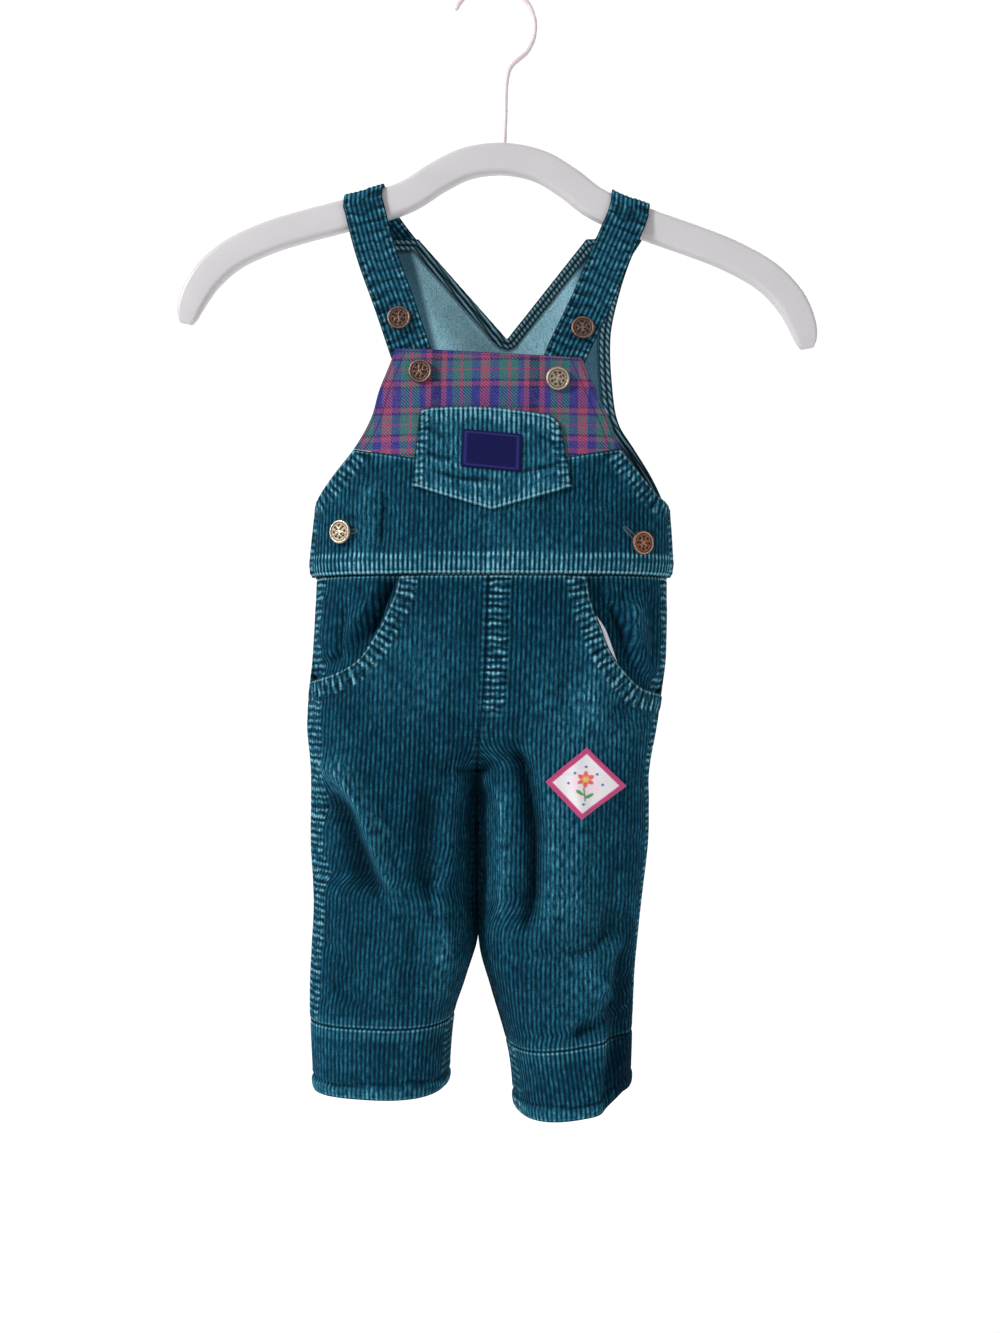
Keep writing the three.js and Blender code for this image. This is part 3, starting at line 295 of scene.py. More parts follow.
def fold_height(height, width, line, x, z, ends=0.25):
    """One fold's height at x, z: full along its line, less beside it, and run out at both its ends."""
    distance, along = near_line(line, x, z)
    return height * smooth(along / ends) * smooth((1 - along) / ends) * np.exp(-((distance / width) ** 2))


def folds_at(owner, front, x, z):
    """How far the folds and creases move the cloth out at x, z, where front says which face it is."""
    total = np.zeros(np.shape(x))
    for face, here in (("front", front), ("back", ~front)):
        for fold in FOLDS[owner, face]:
            total += here * fold_height(*fold, x, z, 0.22)
    return total


def power(value):
    """Rounds a sine or cosine towards the corners of a flattened oval."""
    return np.sign(value) * np.abs(value) ** (2 / ROUNDNESS)


def unit(vectors):
    return vectors / np.maximum(np.linalg.norm(vectors, axis=-1, keepdims=True), 1e-12)


def torso_base(angle, z):
    across, forward = power(np.sin(angle)), power(np.cos(angle))
    middle = torso_middle(z)
    half = np.where(across < 0, middle - torso_left(z), torso_right(z) - middle)
    return middle + across * half, np.where(forward > 0, forward * torso_front(z), -forward * torso_back(z))


def torso_point(angle, z):
    """The torso's surface, from its angle from the middle of the front: points, normals and folds."""
    angle, z = np.broadcast_arrays(np.asarray(angle, float), np.asarray(z, float))
    x, y = torso_base(angle, z)
    x0, y0 = torso_base(angle - 0.02, z)
    x1, y1 = torso_base(angle + 0.02, z)
    normal = unit(np.stack([y1 - y0, x0 - x1, np.zeros_like(x)], -1))
    fold = folds_at("torso", np.cos(angle) > 0, x, z) * smooth(np.abs(np.cos(angle)) * 1.6)
    return np.stack([x, y, z], -1) + normal * fold[..., None], normal, fold


def side_angle(x, z):
    """The angle from the middle of the front, or of the back, at which the torso reaches x."""
    middle = torso_middle(z)
    half = np.where(x < middle, middle - torso_left(z), torso_right(z) - middle)
    share = (x - middle) / half
    return np.arcsin(np.sign(share) * np.minimum(1, np.abs(share)) ** (ROUNDNESS / 2))


def on_front(x, z):
    return torso_point(side_angle(x, z), z)


def looked_up(table, row, place):
    """A table's value between its entries, at a row and a place along it that needn't be whole."""
    row = np.clip(row, 0, len(table) - 1.001)
    place = np.clip(place, 0, table.shape[1] - 1.001)
    i, j = row.astype(int), place.astype(int)
    low = lerp(table[i, j], table[i, j + 1], place - j)
    return lerp(low, lerp(table[i + 1, j], table[i + 1, j + 1], place - j), row - i)


class TorsoGirth:
    """Turns the length round the torso from the middle of one face into an angle, and back."""

    def __init__(self, face):
        self.face = face
        self.z = np.arange(-392.0, -150.0, 2.0)
        self.angles = np.radians(np.linspace(-112, 112, 449))
        turned = self.angles if face == "front" else math.pi - self.angles
        x, y = torso_base(turned[None, :], self.z[:, None])
        steps = np.hypot(np.diff(x, axis=1), np.diff(y, axis=1))
        lengths = np.concatenate([np.zeros((len(self.z), 1)), np.cumsum(steps, 1)], 1)
        self.lengths = lengths - lengths[:, [len(self.angles) // 2]]
        self.u = np.arange(-170.0, 170.5, 0.5)
        self.table = np.array([np.interp(self.u, row, self.angles) for row in self.lengths])

    def _between(self, table, axis, place, z):
        place, z = np.broadcast_arrays(np.asarray(place, float), np.asarray(z, float))
        row = (z - self.z[0]) / (self.z[1] - self.z[0])
        return looked_up(table, row, (place - axis[0]) / (axis[1] - axis[0]))

    def angle(self, u, z):
        return self._between(self.table, self.u, u, z)

    def length(self, angle, z):
        return self._between(self.lengths, self.angles, angle, z)

    def surface(self, u, z):
        angle = self.angle(u, z)
        return torso_point(angle if self.face == "front" else math.pi - angle, z)


front_girth, back_girth = TorsoGirth("front"), TorsoGirth("back")


def leg_section(side, z):
    """A leg's sections at some heights, from the inner seam round the front: points, normals, folds."""
    leg = LEGS[side]
    sign = leg["sign"]
    outer, inner, front, back, turn = (column(LEG_SECTIONS[side], k)(z)[:, None] for k in range(1, 6))
    z = z[:, None]
    t = np.linspace(0, 1, SAMPLES + 1)[None, :]
    middle = torso_middle(np.maximum(z, CROTCH_Z)) - sign * SEAM_LAP

    def rise(height):
        share = np.clip((CROTCH_Z + height - z) / height, 0, 1)
        return 1 - np.sqrt(1 - share * share)

    def depth_of(forward):
        return np.where(forward > 0, forward * front, -forward * back)

    blend = np.where(t < 0.5, rise(FRONT_RISE), rise(BACK_RISE))
    centre = (outer + inner) / 2
    turned = np.radians(turn) * sign
    dx = sign * power(np.sin((2 * t - 0.5) * math.pi)) * np.abs(outer - inner) / 2
    dy = depth_of(power(np.cos((2 * t - 0.5) * math.pi)))
    whole_x = middle + power(np.sin(t * math.pi)) * (outer - middle)
    x = lerp(whole_x, centre + dx * np.cos(turned) - dy * np.sin(turned), blend)
    y = lerp(depth_of(power(np.cos(t * math.pi))), dx * np.sin(turned) + dy * np.cos(turned), blend)
    press = THIGH_PRESS * smooth((CROTCH_Z + 4 - z) / 30) * smooth((z + 655) / 40)
    part = sign * THIGH_PART * smooth((CROTCH_Z - 2 - z) / 14) * smooth((z + 616) / 36)
    inside = smooth((0.25 - np.minimum(t, 1 - t)) / 0.12)
    x = x + inside * (press * np.exp(-(((y - THIGH_PRESS_Y) / 8) ** 2)) + part * smooth((-2 - y) / 10))

    closed = z < CROTCH_Z
    first = [np.where(closed, a[:, [-2]], a[:, [0]]) for a in (x, y)]
    last = [np.where(closed, a[:, [1]], a[:, [-1]]) for a in (x, y)]
    x0, y0 = (np.concatenate([f, a[:, :-1]], 1) for f, a in zip(first, (x, y)))
    x1, y1 = (np.concatenate([a[:, 1:], l], 1) for l, a in zip(last, (x, y)))
    normal = unit(np.stack([y1 - y0, x0 - x1, np.zeros_like(x)], -1)) * sign
    near_seam = smooth(np.minimum(t, 1 - t) / 0.1)
    facing = smooth(np.abs(normal[..., 1]) * 1.8)
    fold = folds_at(side, normal[..., 1] < 0, x, np.broadcast_to(z, x.shape)) * near_seam * facing
    hitched = leg["hitch"] * smooth((x - HITCH_FROM_X) / 14) * smooth((leg["seam_z"] - 3 - z) / 36)
    fall = leg["droop"] * (x - centre) * smooth((DROOP_FROM_Z - z) / 70) + hitched
    points = np.stack([x, y, z + fall], -1) + normal * fold[..., None]
    return points, normal, fold


class LegGirth:
    """The sections of one leg at some heights, sampled by the length from the inner seam."""

    def __init__(self, side, z):
        self.side, self.z = side, np.asarray(z, float)
        self.points, self.normals, self.folds = leg_section(side, self.z)
        steps = np.linalg.norm(np.diff(self.points, axis=1), axis=-1)
        self.lengths = np.concatenate([np.zeros((len(self.z), 1)), np.cumsum(steps, 1)], 1)
        self.seam = self.lengths[:, round(LEGS[side]["side"] * SAMPLES)]
        self.whole = self.lengths[:, -1]

    def at_x(self, x, face="front"):
        """The length at which each section's front, or back, first reaches x."""
        half = SAMPLES // 2
        span = range(1, half) if face == "front" else range(half, SAMPLES)
        found = np.full(len(self.z), np.nan)
        for i in span:
            a, b = self.points[:, i - 1, 0] - x, self.points[:, i, 0] - x
            here = np.isnan(found) & (a * b <= 0) & (a != b)
            share = a / np.where(a == b, 1, a - b)
            found = np.where(here, lerp(self.lengths[:, i - 1], self.lengths[:, i], share), found)
        return np.where(np.isnan(found), self.lengths[:, half], found)

    def surface(self, wanted):
        def pick(table):
            return np.array([np.interp(w, l, row) for w, l, row in zip(wanted, self.lengths, table)])

        points = np.stack([pick(self.points[..., k]) for k in range(3)], -1)
        normals = np.stack([pick(self.normals[..., k]) for k in range(3)], -1)
        return points, unit(normals), pick(self.folds)


def stations(*stops):
    """Heights from the first stop down to the last, where each stop gives a z and the spacing below it."""
    z = []
    for (top, spacing), (bottom, _) in zip(stops, stops[1:]):
        count = max(1, round((top - bottom) / spacing))
        z.extend(np.linspace(top, bottom, count + 1)[:-1])
    return np.array(z + [stops[-1][0]])


class Region:
    """A panel's outline over u, the length across its wales, and z, filled with rows and columns of points.

    Each row goes from the left to the right edge, and its columns stand `step` apart and end at the edges.
    """

    def __init__(self, shares, top, bottom, left, right, step=STEP):
        shares = np.asarray(shares, float)[:, None]

        def height(u):
            return lerp(top(u), bottom(u), shares)

        def edge(side):
            u = np.zeros_like(shares)
            for _ in range(40):
                u = lerp(u, side(height(u)), 0.6)
            return u

        u0, u1 = edge(left), edge(right)
        count = math.ceil(u1.max() / step) - math.floor(u0.min() / step)
        columns = (math.floor(u0.min() / step) + np.arange(count + 1)) * step
        self.u = np.clip(columns[None, :], u0, u1)
        self.z = np.broadcast_to(height(self.u), self.u.shape).copy()
        self.first = np.searchsorted(columns, u0[:, 0] + 1e-6, side="right") - 1
        self.last = np.searchsorted(columns, u1[:, 0] - 1e-6, side="left")

    def edge(self, name):
        rows = range(len(self.u))
        if name == "left":
            return [(self.u[i, self.first[i]], self.z[i, self.first[i]]) for i in rows]
        if name == "right":
            return [(self.u[i, self.last[i]], self.z[i, self.last[i]]) for i in rows]
        i = 0 if name == "top" else -1
        return [(self.u[i, j], self.z[i, j]) for j in range(self.first[i], self.last[i] + 1)]

    def part(self, name, above=1e9, below=-1e9):
        line = [(u, z) for u, z in self.edge(name) if below <= z <= above]
        return line[::3] + line[-1:] if name in ("top", "bottom") else line

    def away(self, name, above=1e9, below=-1e9):
        """The distance to an edge, or to the part of it between two heights."""
        return near_line(self.part(name, above, below), self.u, self.z)[0]

    def run(self, name, above=1e9, below=-1e9):
        return run_along(self.part(name, above, below), self.u, self.z)


def level(z):
    """A straight edge at one height, as a function of u."""
    return lambda u: z + 0 * u


def build(name, points, faces, materials, picks=None, vectors=None, sharp=62):
    mesh = bpy.data.meshes.new(name)
    mesh.from_pydata((np.asarray(points) * MM).tolist(), [], faces)
    for material in materials:
        mesh.materials.append(material)
    if picks is not None:
        mesh.polygons.foreach_set("material_index", np.asarray(picks, np.int32))
    for key, value in (vectors or {}).items():
        attribute = mesh.attributes.new(key, "FLOAT_VECTOR", "POINT")
        attribute.data.foreach_set("vector", np.asarray(value, np.float32).ravel())
    mesh.polygons.foreach_set("use_smooth", np.ones(len(faces), bool))
    mesh.set_sharp_from_angle(angle=math.radians(sharp))
    mesh.validate()
    piece = bpy.data.objects.new(name, mesh)
    bpy.context.scene.collection.objects.link(piece)
    return piece


def wall(name, outer, inner, vectors, materials, first=None, last=None, ring=False):
    """A closed wall between two faces of rows and columns, with edges all round, or none across a ring."""
    rows, wide = outer.shape[:2]
    first = np.zeros(rows, int) if first is None else first
    last = np.full(rows, wide - 1) if last is None else last
    ids = np.arange(rows)[:, None] * wide + np.clip(np.arange(wide)[None, :], first[:, None], last[:, None])
    if ring:
        ids = np.concatenate([ids, ids[:, :1]], 1)
    under = ids + rows * wide

    def strip(a, b, c, d):
        return np.stack([a, b, c, d], -1).reshape(-1, 4)

    outside = strip(ids[:-1, :-1], ids[1:, :-1], ids[1:, 1:], ids[:-1, 1:])
    inside = strip(under[:-1, :-1], under[:-1, 1:], under[1:, 1:], under[1:, :-1])
    borders = [
        strip(ids[0, :-1], ids[0, 1:], under[0, 1:], under[0, :-1]),
        strip(ids[-1, :-1], under[-1, :-1], under[-1, 1:], ids[-1, 1:]),
    ]
    if not ring:
        borders.append(strip(ids[:-1, 0], under[:-1, 0], under[1:, 0], ids[1:, 0]))
        borders.append(strip(ids[:-1, -1], ids[1:, -1], under[1:, -1], under[:-1, -1]))
    quads = np.concatenate([outside, inside, *borders])
    picks = np.zeros(len(quads), int)
    if len(materials) > 1:
        picks[len(outside) : len(outside) + len(inside)] = 1

    points = np.concatenate([outer.reshape(-1, 3), inner.reshape(-1, 3)])
    a, b, c = (points[outside[:, k]] for k in (0, 1, 2))
    out = (points[outside[:, 0]] - points[outside[:, 0] + rows * wide])
    if (np.cross(b - a, c - a) * out).sum() < 0:
        quads = quads[:, ::-1]
    doubled = quads == np.roll(quads, -1, axis=1)
    kept = doubled.sum(1) < 2
    used, renamed = np.unique(quads[kept], return_inverse=True)
    renamed = renamed.reshape(-1, 4)
    faces = [
        quad.tolist() if not twice.any() else quad[~twice].tolist()
        for quad, twice in zip(renamed, doubled[kept])
    ]
    spread = {
        key: np.concatenate([value.reshape(-1, 3)] * 2)[used] for key, value in vectors.items()
    }
    return build(name, points[used], faces, materials, picks[kept], spread)


def wale_relief(u):
    """How deep the groove beside each wale is: rounded wales with narrow grooves between them."""
    return WALE_DEPTH * (0.5 - 0.5 * np.cos(2 * math.pi * u / WALE)) ** 1.6


def place(piece, slot, *nodes, flat=None, area=None, held="hung", rests_on=()):
    """Rides a piece on the body, and hides the parts it stands for."""
    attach(piece, "root")
    if nodes:
        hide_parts(*nodes)
    if flat:
        list(rests_on)
    return piece


def band(distance, width, strength=1.0):
    """The worn band beside an edge: full up to its width, and gone a little further in."""
    return strength * smooth((width + 0.8 - distance) / 1.6)


def welt(distance, width):
    """How far the folded cloth under a seam lifts the band beside it, which sinks again at the seam."""
    return 0.5 * smooth((width + 1 - distance) / 2) - 0.8 * smooth((1.8 - distance) / 1.8)


def corduroy(name, surface, u, z, cross, along, lift=0.0, cloth=CORDUROY, worn=0.0, inside=None,
             raised=0.0, ladder=0.0, bars=0.0, run=None, joined=0.0, **how):
    """A corduroy wall over a surface of points, normals and folds.

    cross and along are the distances to the nearest edge or seam across the wales and along them.
    ladder is how strongly the cloth is puckered across a seam at `run` along it, bars how strongly
    its wales are worn bright beside an edge, and joined where an edge meets its neighbour unrolled.
    """
    points, normals, fold = surface
    edge = np.minimum(cross, along)
    relief = wale_relief(u) * smooth((edge - 0.4) / 1.4)
    rolled = 0.55 * (1 - np.clip(edge / 1.6, 0, 1)) ** 2 * (1 - joined)
    outer = points + normals * (lift - relief - rolled)[..., None]
    inner = points + normals * (lift - cloth + raised + 0.3 * rolled)[..., None]
    worn, ladder, bars = (np.broadcast_to(value, u.shape) for value in (worn, ladder, bars))
    vectors = {
        "grain": np.stack([u, z, worn], -1),
        "marks": np.stack([cross, along, fold], -1),
        "seams": np.stack([z if run is None else run, ladder, bars], -1),
    }
    materials = [CORDUROY_FACE, inside or CORDUROY_BACK]
    return wall(name, outer, inner, vectors, materials, **how)


def sideways(z):
    """0 where a torso panel ends at its armhole edge, and 1 where it reaches the side."""
    return smooth((ARMHOLE_Z + 6 - z) / 9)


def side_lengths(girth, left_x, right_x, limit):
    """The lengths at which a torso panel ends, left and right, as functions of z."""
    def left(z):
        return girth.length(lerp(side_angle(left_x(z), z), -limit, sideways(z)), z)

    def right(z):
        return girth.length(lerp(side_angle(right_x(z), z), limit, sideways(z)), z)

    return left, right


bib_sides = side_lengths(front_girth, bib_left, bib_right, SIDE_ANGLE)
back_sides = side_lengths(back_girth, back_left, back_right, math.pi / 2 + UNDERLAP)


def across_bib(u, z):
    """The share of the way across the bib, from 0 at its left edge to 1 at its right."""
    left, right = bib_sides[0](z), bib_sides[1](z)
    return np.clip((u - left) / (right - left), -0.2, 1.2)


# The yoke: its top's heights left and right, its seam's height in the middle, and its rise to the sides
YOKE_TOP = -239.5, -246
YOKE_SEAM_Z, YOKE_SEAM_RISE = -318, 14


def yoke_top(u):
    return lerp(*YOKE_TOP, across_bib(u, sum(YOKE_TOP) / 2 - 0.25))


def yoke_seam(u):
    side_z = YOKE_SEAM_Z + YOKE_SEAM_RISE
    z = np.full(np.shape(u), (YOKE_SEAM_Z + side_z) / 2)
    for _ in range(3):
        z = side_z - YOKE_SEAM_RISE * (1 - np.minimum(1, np.abs(2 * across_bib(u, z) - 1)))
    return z


def neckline():
    """The back's top edge: the two ears, and the V between them, as a function of u."""
    u = np.arange(-150.0, 150.5, 0.5)
    z = np.arange(EAR_Z, NECK_Z - 0.1, -0.25)
    uu, zz = np.meshgrid(u, z)
    x = torso_base(math.pi - back_girth.angle(uu, zz), zz)[0]
    slope = np.where(x < NECK_X, NECK_SLOPES["left"], NECK_SLOPES["right"])
    beyond = np.abs(x - NECK_X) > np.abs(slope * (zz - NECK_Z))
    beyond[-1] = True
    top = z[beyond.argmax(0)]
    return lambda wanted: np.interp(wanted, u, top)


def seated(surface, z):
    """The bib and the back come in to the legs at the waist seam."""
    points, normals, fold = surface
    return points - normals * (WAIST_STEP * smooth((WAIST_Z + 12 - z) / 12))[..., None], normals, fold


# Where the bib's corduroy is worn lighter: along the buttoned side opening, and under the pocket
OPENING_U, OPENING_TOP = -76, -322
RUBBED_U, RUBBED_TOP = 10, -330


def make_front_bib():
    region = Region(np.linspace(0, 1, 34), lambda u: yoke_seam(u) - SEAM / 2,
                    level(WAIST_Z + SEAM / 2), *bib_sides)
    cross = np.minimum.reduce([
        region.away("top"), region.away("bottom"),
        region.away("left", below=ARMHOLE_Z), region.away("right", below=ARMHOLE_Z)])
    side_top = ARMHOLE_Z + 4
    along = np.minimum(region.away("left", above=side_top), region.away("right", above=side_top))
    left, right = region.away("left"), region.away("right")
    run = np.where(left < right, region.run("left"), region.run("right"))
    waist = region.away("bottom")
    bars = np.maximum.reduce([band(waist, 9.5, 1.05), np.exp(-(((waist - 11.8) / 1.2) ** 2)) * 1.8,
                              band(region.away("top"), 3.0, 0.45)])
    opening = 0.35 * np.exp(-(((region.u - OPENING_U) / 9) ** 2)) * smooth((OPENING_TOP - region.z) / 8)
    rubbed = 0.24 * np.exp(-(((region.u - RUBBED_U) / 26) ** 2)) * smooth((RUBBED_TOP - region.z) / 10)
    worn = 0.17 + opening + rubbed
    points, normals, fold = seated(front_girth.surface(region.u, region.z), region.z)
    points = points + normals * (welt(waist, 10) + welt(np.minimum(left, right), 8))[..., None]
    return corduroy("front_bib_shell", (points, normals, fold), region.u, region.z, cross, along,
                    lift=CORDUROY, worn=worn, bars=bars, run=run,
                    ladder=np.maximum(band(left, 13, 0.85), band(right, 12, 0.85)),
                    first=region.first, last=region.last)


def make_yoke():
    region = Region(np.linspace(0, 1, 38), yoke_top, lambda u: yoke_seam(u) + SEAM / 2, *bib_sides,
                    step=1.5)
    points, normals, _ = front_girth.surface(region.u, region.z)
    edge = np.minimum.reduce([region.away(name) for name in ("top", "bottom", "left", "right")])
    rolled = 0.5 * (1 - np.clip(edge / 2.0, 0, 1)) ** 2
    slack = 0.35 * np.sin(region.u / 9.0 + 1.0) * np.sin(region.z / 7.0) * smooth(edge / 6)
    outer = points + normals * (CORDUROY - rolled + slack)[..., None]
    inner = points + normals * (CORDUROY - FLANNEL + slack)[..., None]
    vectors = {"grain": np.stack([region.u, region.z, 0 * region.u], -1),
               "marks": np.stack([region.away("left"), region.away("right"), region.away("top")], -1)}
    return wall("bib_yoke_shell", outer, inner, vectors, [FLANNEL_CLOTH],
                first=region.first, last=region.last)


# How far the back's top and armhole edges are turned in
TURNING = 7.6


def make_back_bib():
    top = neckline()
    region = Region(np.linspace(0, 1, 92), top, level(WAIST_Z + SEAM / 2), *back_sides)
    points, normals, fold = back_girth.surface(region.u, region.z)
    beneath = smooth(np.where(region.z > ARMHOLE_Z + 12, 0, 9 - points[..., 1]) / 9)
    points = points - normals * ((CORDUROY + SEAM + 0.1) * beneath)[..., None]
    side_top = ARMHOLE_Z + 2
    left, right = region.away("left", below=side_top), region.away("right", below=side_top)
    cross = np.minimum.reduce([region.away("top"), region.away("bottom"), left, right])
    along = np.minimum(region.away("left", above=side_top), region.away("right", above=side_top))
    turning = np.minimum.reduce([region.away("top"), region.away("left", below=side_top - 9),
                                 region.away("right", below=side_top - 9)])
    raised = -0.6 * smooth((TURNING - turning) / 0.8)
    worn = 0.14 + 0.2 * np.exp(-((region.z + 240) / 40) ** 2)
    run = np.where(left < right, region.run("left"), region.run("right"))
    bars = np.maximum(band(region.away("top"), 7, 0.5), band(region.away("bottom"), 10.5, 0.6))
    return corduroy("back_bib_shell", seated((points, normals, fold), region.z), region.u, region.z,
                    cross, along, lift=CORDUROY, worn=worn, raised=raised, bars=bars, run=run,
                    ladder=band(np.minimum(region.away("left"), region.away("right")), 8, 0.6),
                    first=region.first, last=region.last)


# The pocket: its mouth, foot and sides over x and z
POCKET_TOP = [(-46.5, -279.6), (39.7, -285)]
POCKET_FOOT = [(-51.7, -329), (47.5, -329.8)]
POCKET_CROWN, POCKET_POINT = 3.2, -15
POCKET_CORNERS = [(-46.5, 3.5), (39.7, 7.0)]


def pocket_mouth(x):
    (x0, z0), (x1, z1) = POCKET_TOP
    share = np.clip((x - x0) / (x1 - x0), 0, 1)
    z = lerp(z0, z1, share) + POCKET_CROWN * np.sin(math.pi * share)
    for corner, radius in POCKET_CORNERS:
        inwards = np.clip(1 - np.abs(x - corner) / radius, 0, 1)
        z = z - radius * (1 - np.sqrt(1 - inwards**2))
    return z


def pocket_foot(x):
    (x0, z0), (x1, z1) = POCKET_FOOT
    share = np.clip((x - x0) / (x1 - x0), 0, 1)
    return lerp(z0, z1, share) + POCKET_POINT * (1 - np.abs(2 * share - 1))


def pocket_side(k):
    (x0, z0), (x1, z1) = POCKET_TOP[k], POCKET_FOOT[k]
    return lambda z: lerp(x0, x1, np.clip((z - z0) / (z1 - z0), 0, 1))


POCKET_LIFT = 2 * CORDUROY + SEAM + 0.1
# Creases across the pocket, in the folds' form
POCKET_FOLDS = [
    (-1.0, 1.6, [(-46, -306), (-34, -311), (-24, -313)]),
    (0.8, 2.0, [(-46, -310), (-32, -315), (-18, -318)]),
    (-1.1, 1.6, [(-44, -318), (-20, -325), (6, -326)]),
    (0.8, 2.0, [(-40, -322), (-14, -329), (12, -331)]),
    (-0.9, 1.5, [(14, -320), (28, -318), (44, -314)]), (0.7, 2.0, [(16, -324), (32, -322), (45, -318)]),
    (-0.7, 1.5, [(22, -296), (34, -300), (42, -308)]),
    (-0.6, 1.5, [(-44, -292), (-34, -296), (-27, -303)]),
]


def make_pocket():
    region = Region(np.linspace(0, 1, 54), pocket_mouth, pocket_foot, pocket_side(0), pocket_side(1))
    cross = np.minimum(region.away("top"), region.away("bottom"))
    along = np.minimum(region.away("left"), region.away("right"))
    hem = 0.35 * smooth((9.5 - region.away("top")) / 1.2)
    points, normals, fold = on_front(region.u, region.z)
    for crease in POCKET_FOLDS:
        crumple = 1.7 * fold_height(*crease, region.u, region.z)
        # The crease's fold mark is made four times deeper, so that the shader paints shade in its trough
        fold = fold + 4 * crumple
        points = points + normals * crumple[..., None]
    gape = 0.9 * smooth((12 - region.away("top")) / 12) * smooth(along / 12)
    points = points + normals * (hem + gape)[..., None]
    bars = np.maximum(band(region.away("top"), 9, 1.0), band(region.away("bottom"), 5, 0.7)) + 0.22
    return corduroy("bib_pocket_shell", (points, normals, fold), region.u, region.z, cross, along,
                    lift=POCKET_LIFT, worn=0.5, bars=np.minimum(bars, 1), ladder=band(along, 7, 0.7),
                    first=region.first, last=region.last)


def patch(name, surface, rows, columns, position, lift, cloth, materials, vectors=None):
    """A small piece laid on what is under it, over shares across and down."""
    across, down = np.meshgrid(np.linspace(0, 1, columns + 1), np.linspace(0, 1, rows + 1))
    x, z = position(across, down)
    points, normals, _ = surface(x, z)
    edge = np.minimum(np.minimum(across, 1 - across), np.minimum(down, 1 - down))
    outer = points + normals * (lift - 0.35 * (1 - np.clip(edge / 0.03, 0, 1)) ** 2)[..., None]
    inner = points + normals * np.full(edge.shape, lift - cloth)[..., None]
    grain = {"grain": np.stack([across, down, edge], -1)}
    grain.update((vectors or (lambda *_: {}))(across, down))
    return wall(name, outer, inner, grain, materials)


LABEL_LEFT, LABEL_TOP, LABEL_WIDTH, LABEL_HEIGHT = -20.5, -293, 37.5, 24
LABEL_LEAN, LABEL_SHIFT = -3.6, -0.8


def label_position(across, down):
    return (LABEL_LEFT + across * LABEL_WIDTH + down * LABEL_SHIFT,
            LABEL_TOP + across * LABEL_LEAN - down * LABEL_HEIGHT)


BADGE_TOP, BADGE_LEFT, BADGE_FOOT, BADGE_RIGHT = (56.8, -491), (31, -511.7), (53.1, -535.5), (81, -515.2)


def badge_position(across, down):
    upper = [lerp(a, b, across) for a, b in zip(BADGE_LEFT, BADGE_TOP)]
    lower = [lerp(a, b, across) for a, b in zip(BADGE_FOOT, BADGE_RIGHT)]
    return tuple(lerp(a, b, down) for a, b in zip(upper, lower))


def leg_levels(side, face):
    """The heights of a leg panel's rows, closer together at the scoop's foot and at the crotch."""
    leg = LEGS[side]
    top, foot = WAIST_Z - SEAM / 2, leg["seam_z"] + SEAM / 2
    end = SCOOPS[side][-1][0]
    if face == "front":
        return stations((top, ROW), (end + 18, 1.1), (end - 3, ROW), (CROTCH_Z + 18, 1.3),
                        (CROTCH_Z - 8, ROW), (foot, 0))
    return stations((top, ROW), (CROTCH_Z + 18, 1.3), (CROTCH_Z - 8, ROW), (foot, 0))


def scoop_length(side, girth):
    """Where each section meets the scoop pocket's edge, or far beyond below it."""
    end = SCOOPS[side][-1][0]
    x = column(SCOOPS[side], 1)(girth.z)
    return np.where(girth.z > end, girth.at_x(x), 1e9)


def leg_region(side, face):
    """A leg panel's outline, and its girth at each of its rows."""
    levels = leg_levels(side, face)
    girth = LegGirth(side, levels)
    grain_x = column(LEGS[side]["grain"], 1 if face == "front" else 2)(levels)
    grain = girth.at_x(grain_x, face)
    seam = girth.seam
    if face == "front":
        start = np.zeros(len(levels))
        end = np.minimum(seam - SIDE_SEAM / 2, scoop_length(side, girth))
    else:
        start, end = seam + SIDE_SEAM / 2, girth.whole
    down = -levels

    def edge(lengths):
        return lambda z: np.interp(-z, down, lengths - grain)

    shares = (levels - levels[0]) / (levels[-1] - levels[0])
    region = Region(shares, level(levels[0]), level(levels[-1]), edge(start), edge(end))
    return region, girth, grain


# The worn band beside the middle seam, down to the crotch: its width and how worn it is
CENTRE_BAND_FOOT = -478
CENTRE_BANDS = {("left", "front"): (3, 0.4), ("right", "front"): (14, 1.0),
                ("left", "back"): (10, 0.6), ("right", "back"): (4, 0.4)}
# How wide the puckered band beside each side seam is
SIDE_BANDS = {("left", "front"): 22, ("right", "front"): 15, ("left", "back"): 11, ("right", "back"): 11}
# Where the pile is made lighter, and, at the one negative strength on the right front, darker as painted
# shade: x, z, half width, half height, strength
FADES_AND_SHADE = {
    ("left", "front"): [(-52, -440, 30, 34, 0.3), (-98, -520, 14, 34, 0.22), (-60, -600, 22, 50, 0.1),
                        (-32, -620, 12, 50, 0.24), (-26, -520, 7, 40, 0.2)],
    ("right", "front"): [(62, -462, 34, 34, 0.5), (44, -560, 28, 80, 0.36), (60, -640, 26, 40, 0.28),
                         (2, -560, 7, 50, 0.35), (87, -665, 8, 40, -1.2)],
    ("left", "back"): [(-60, -440, 36, 40, 0.3), (-70, -580, 30, 40, 0.2)],
    ("right", "back"): [(52, -440, 36, 40, 0.3), (52, -590, 30, 40, 0.2)],
}


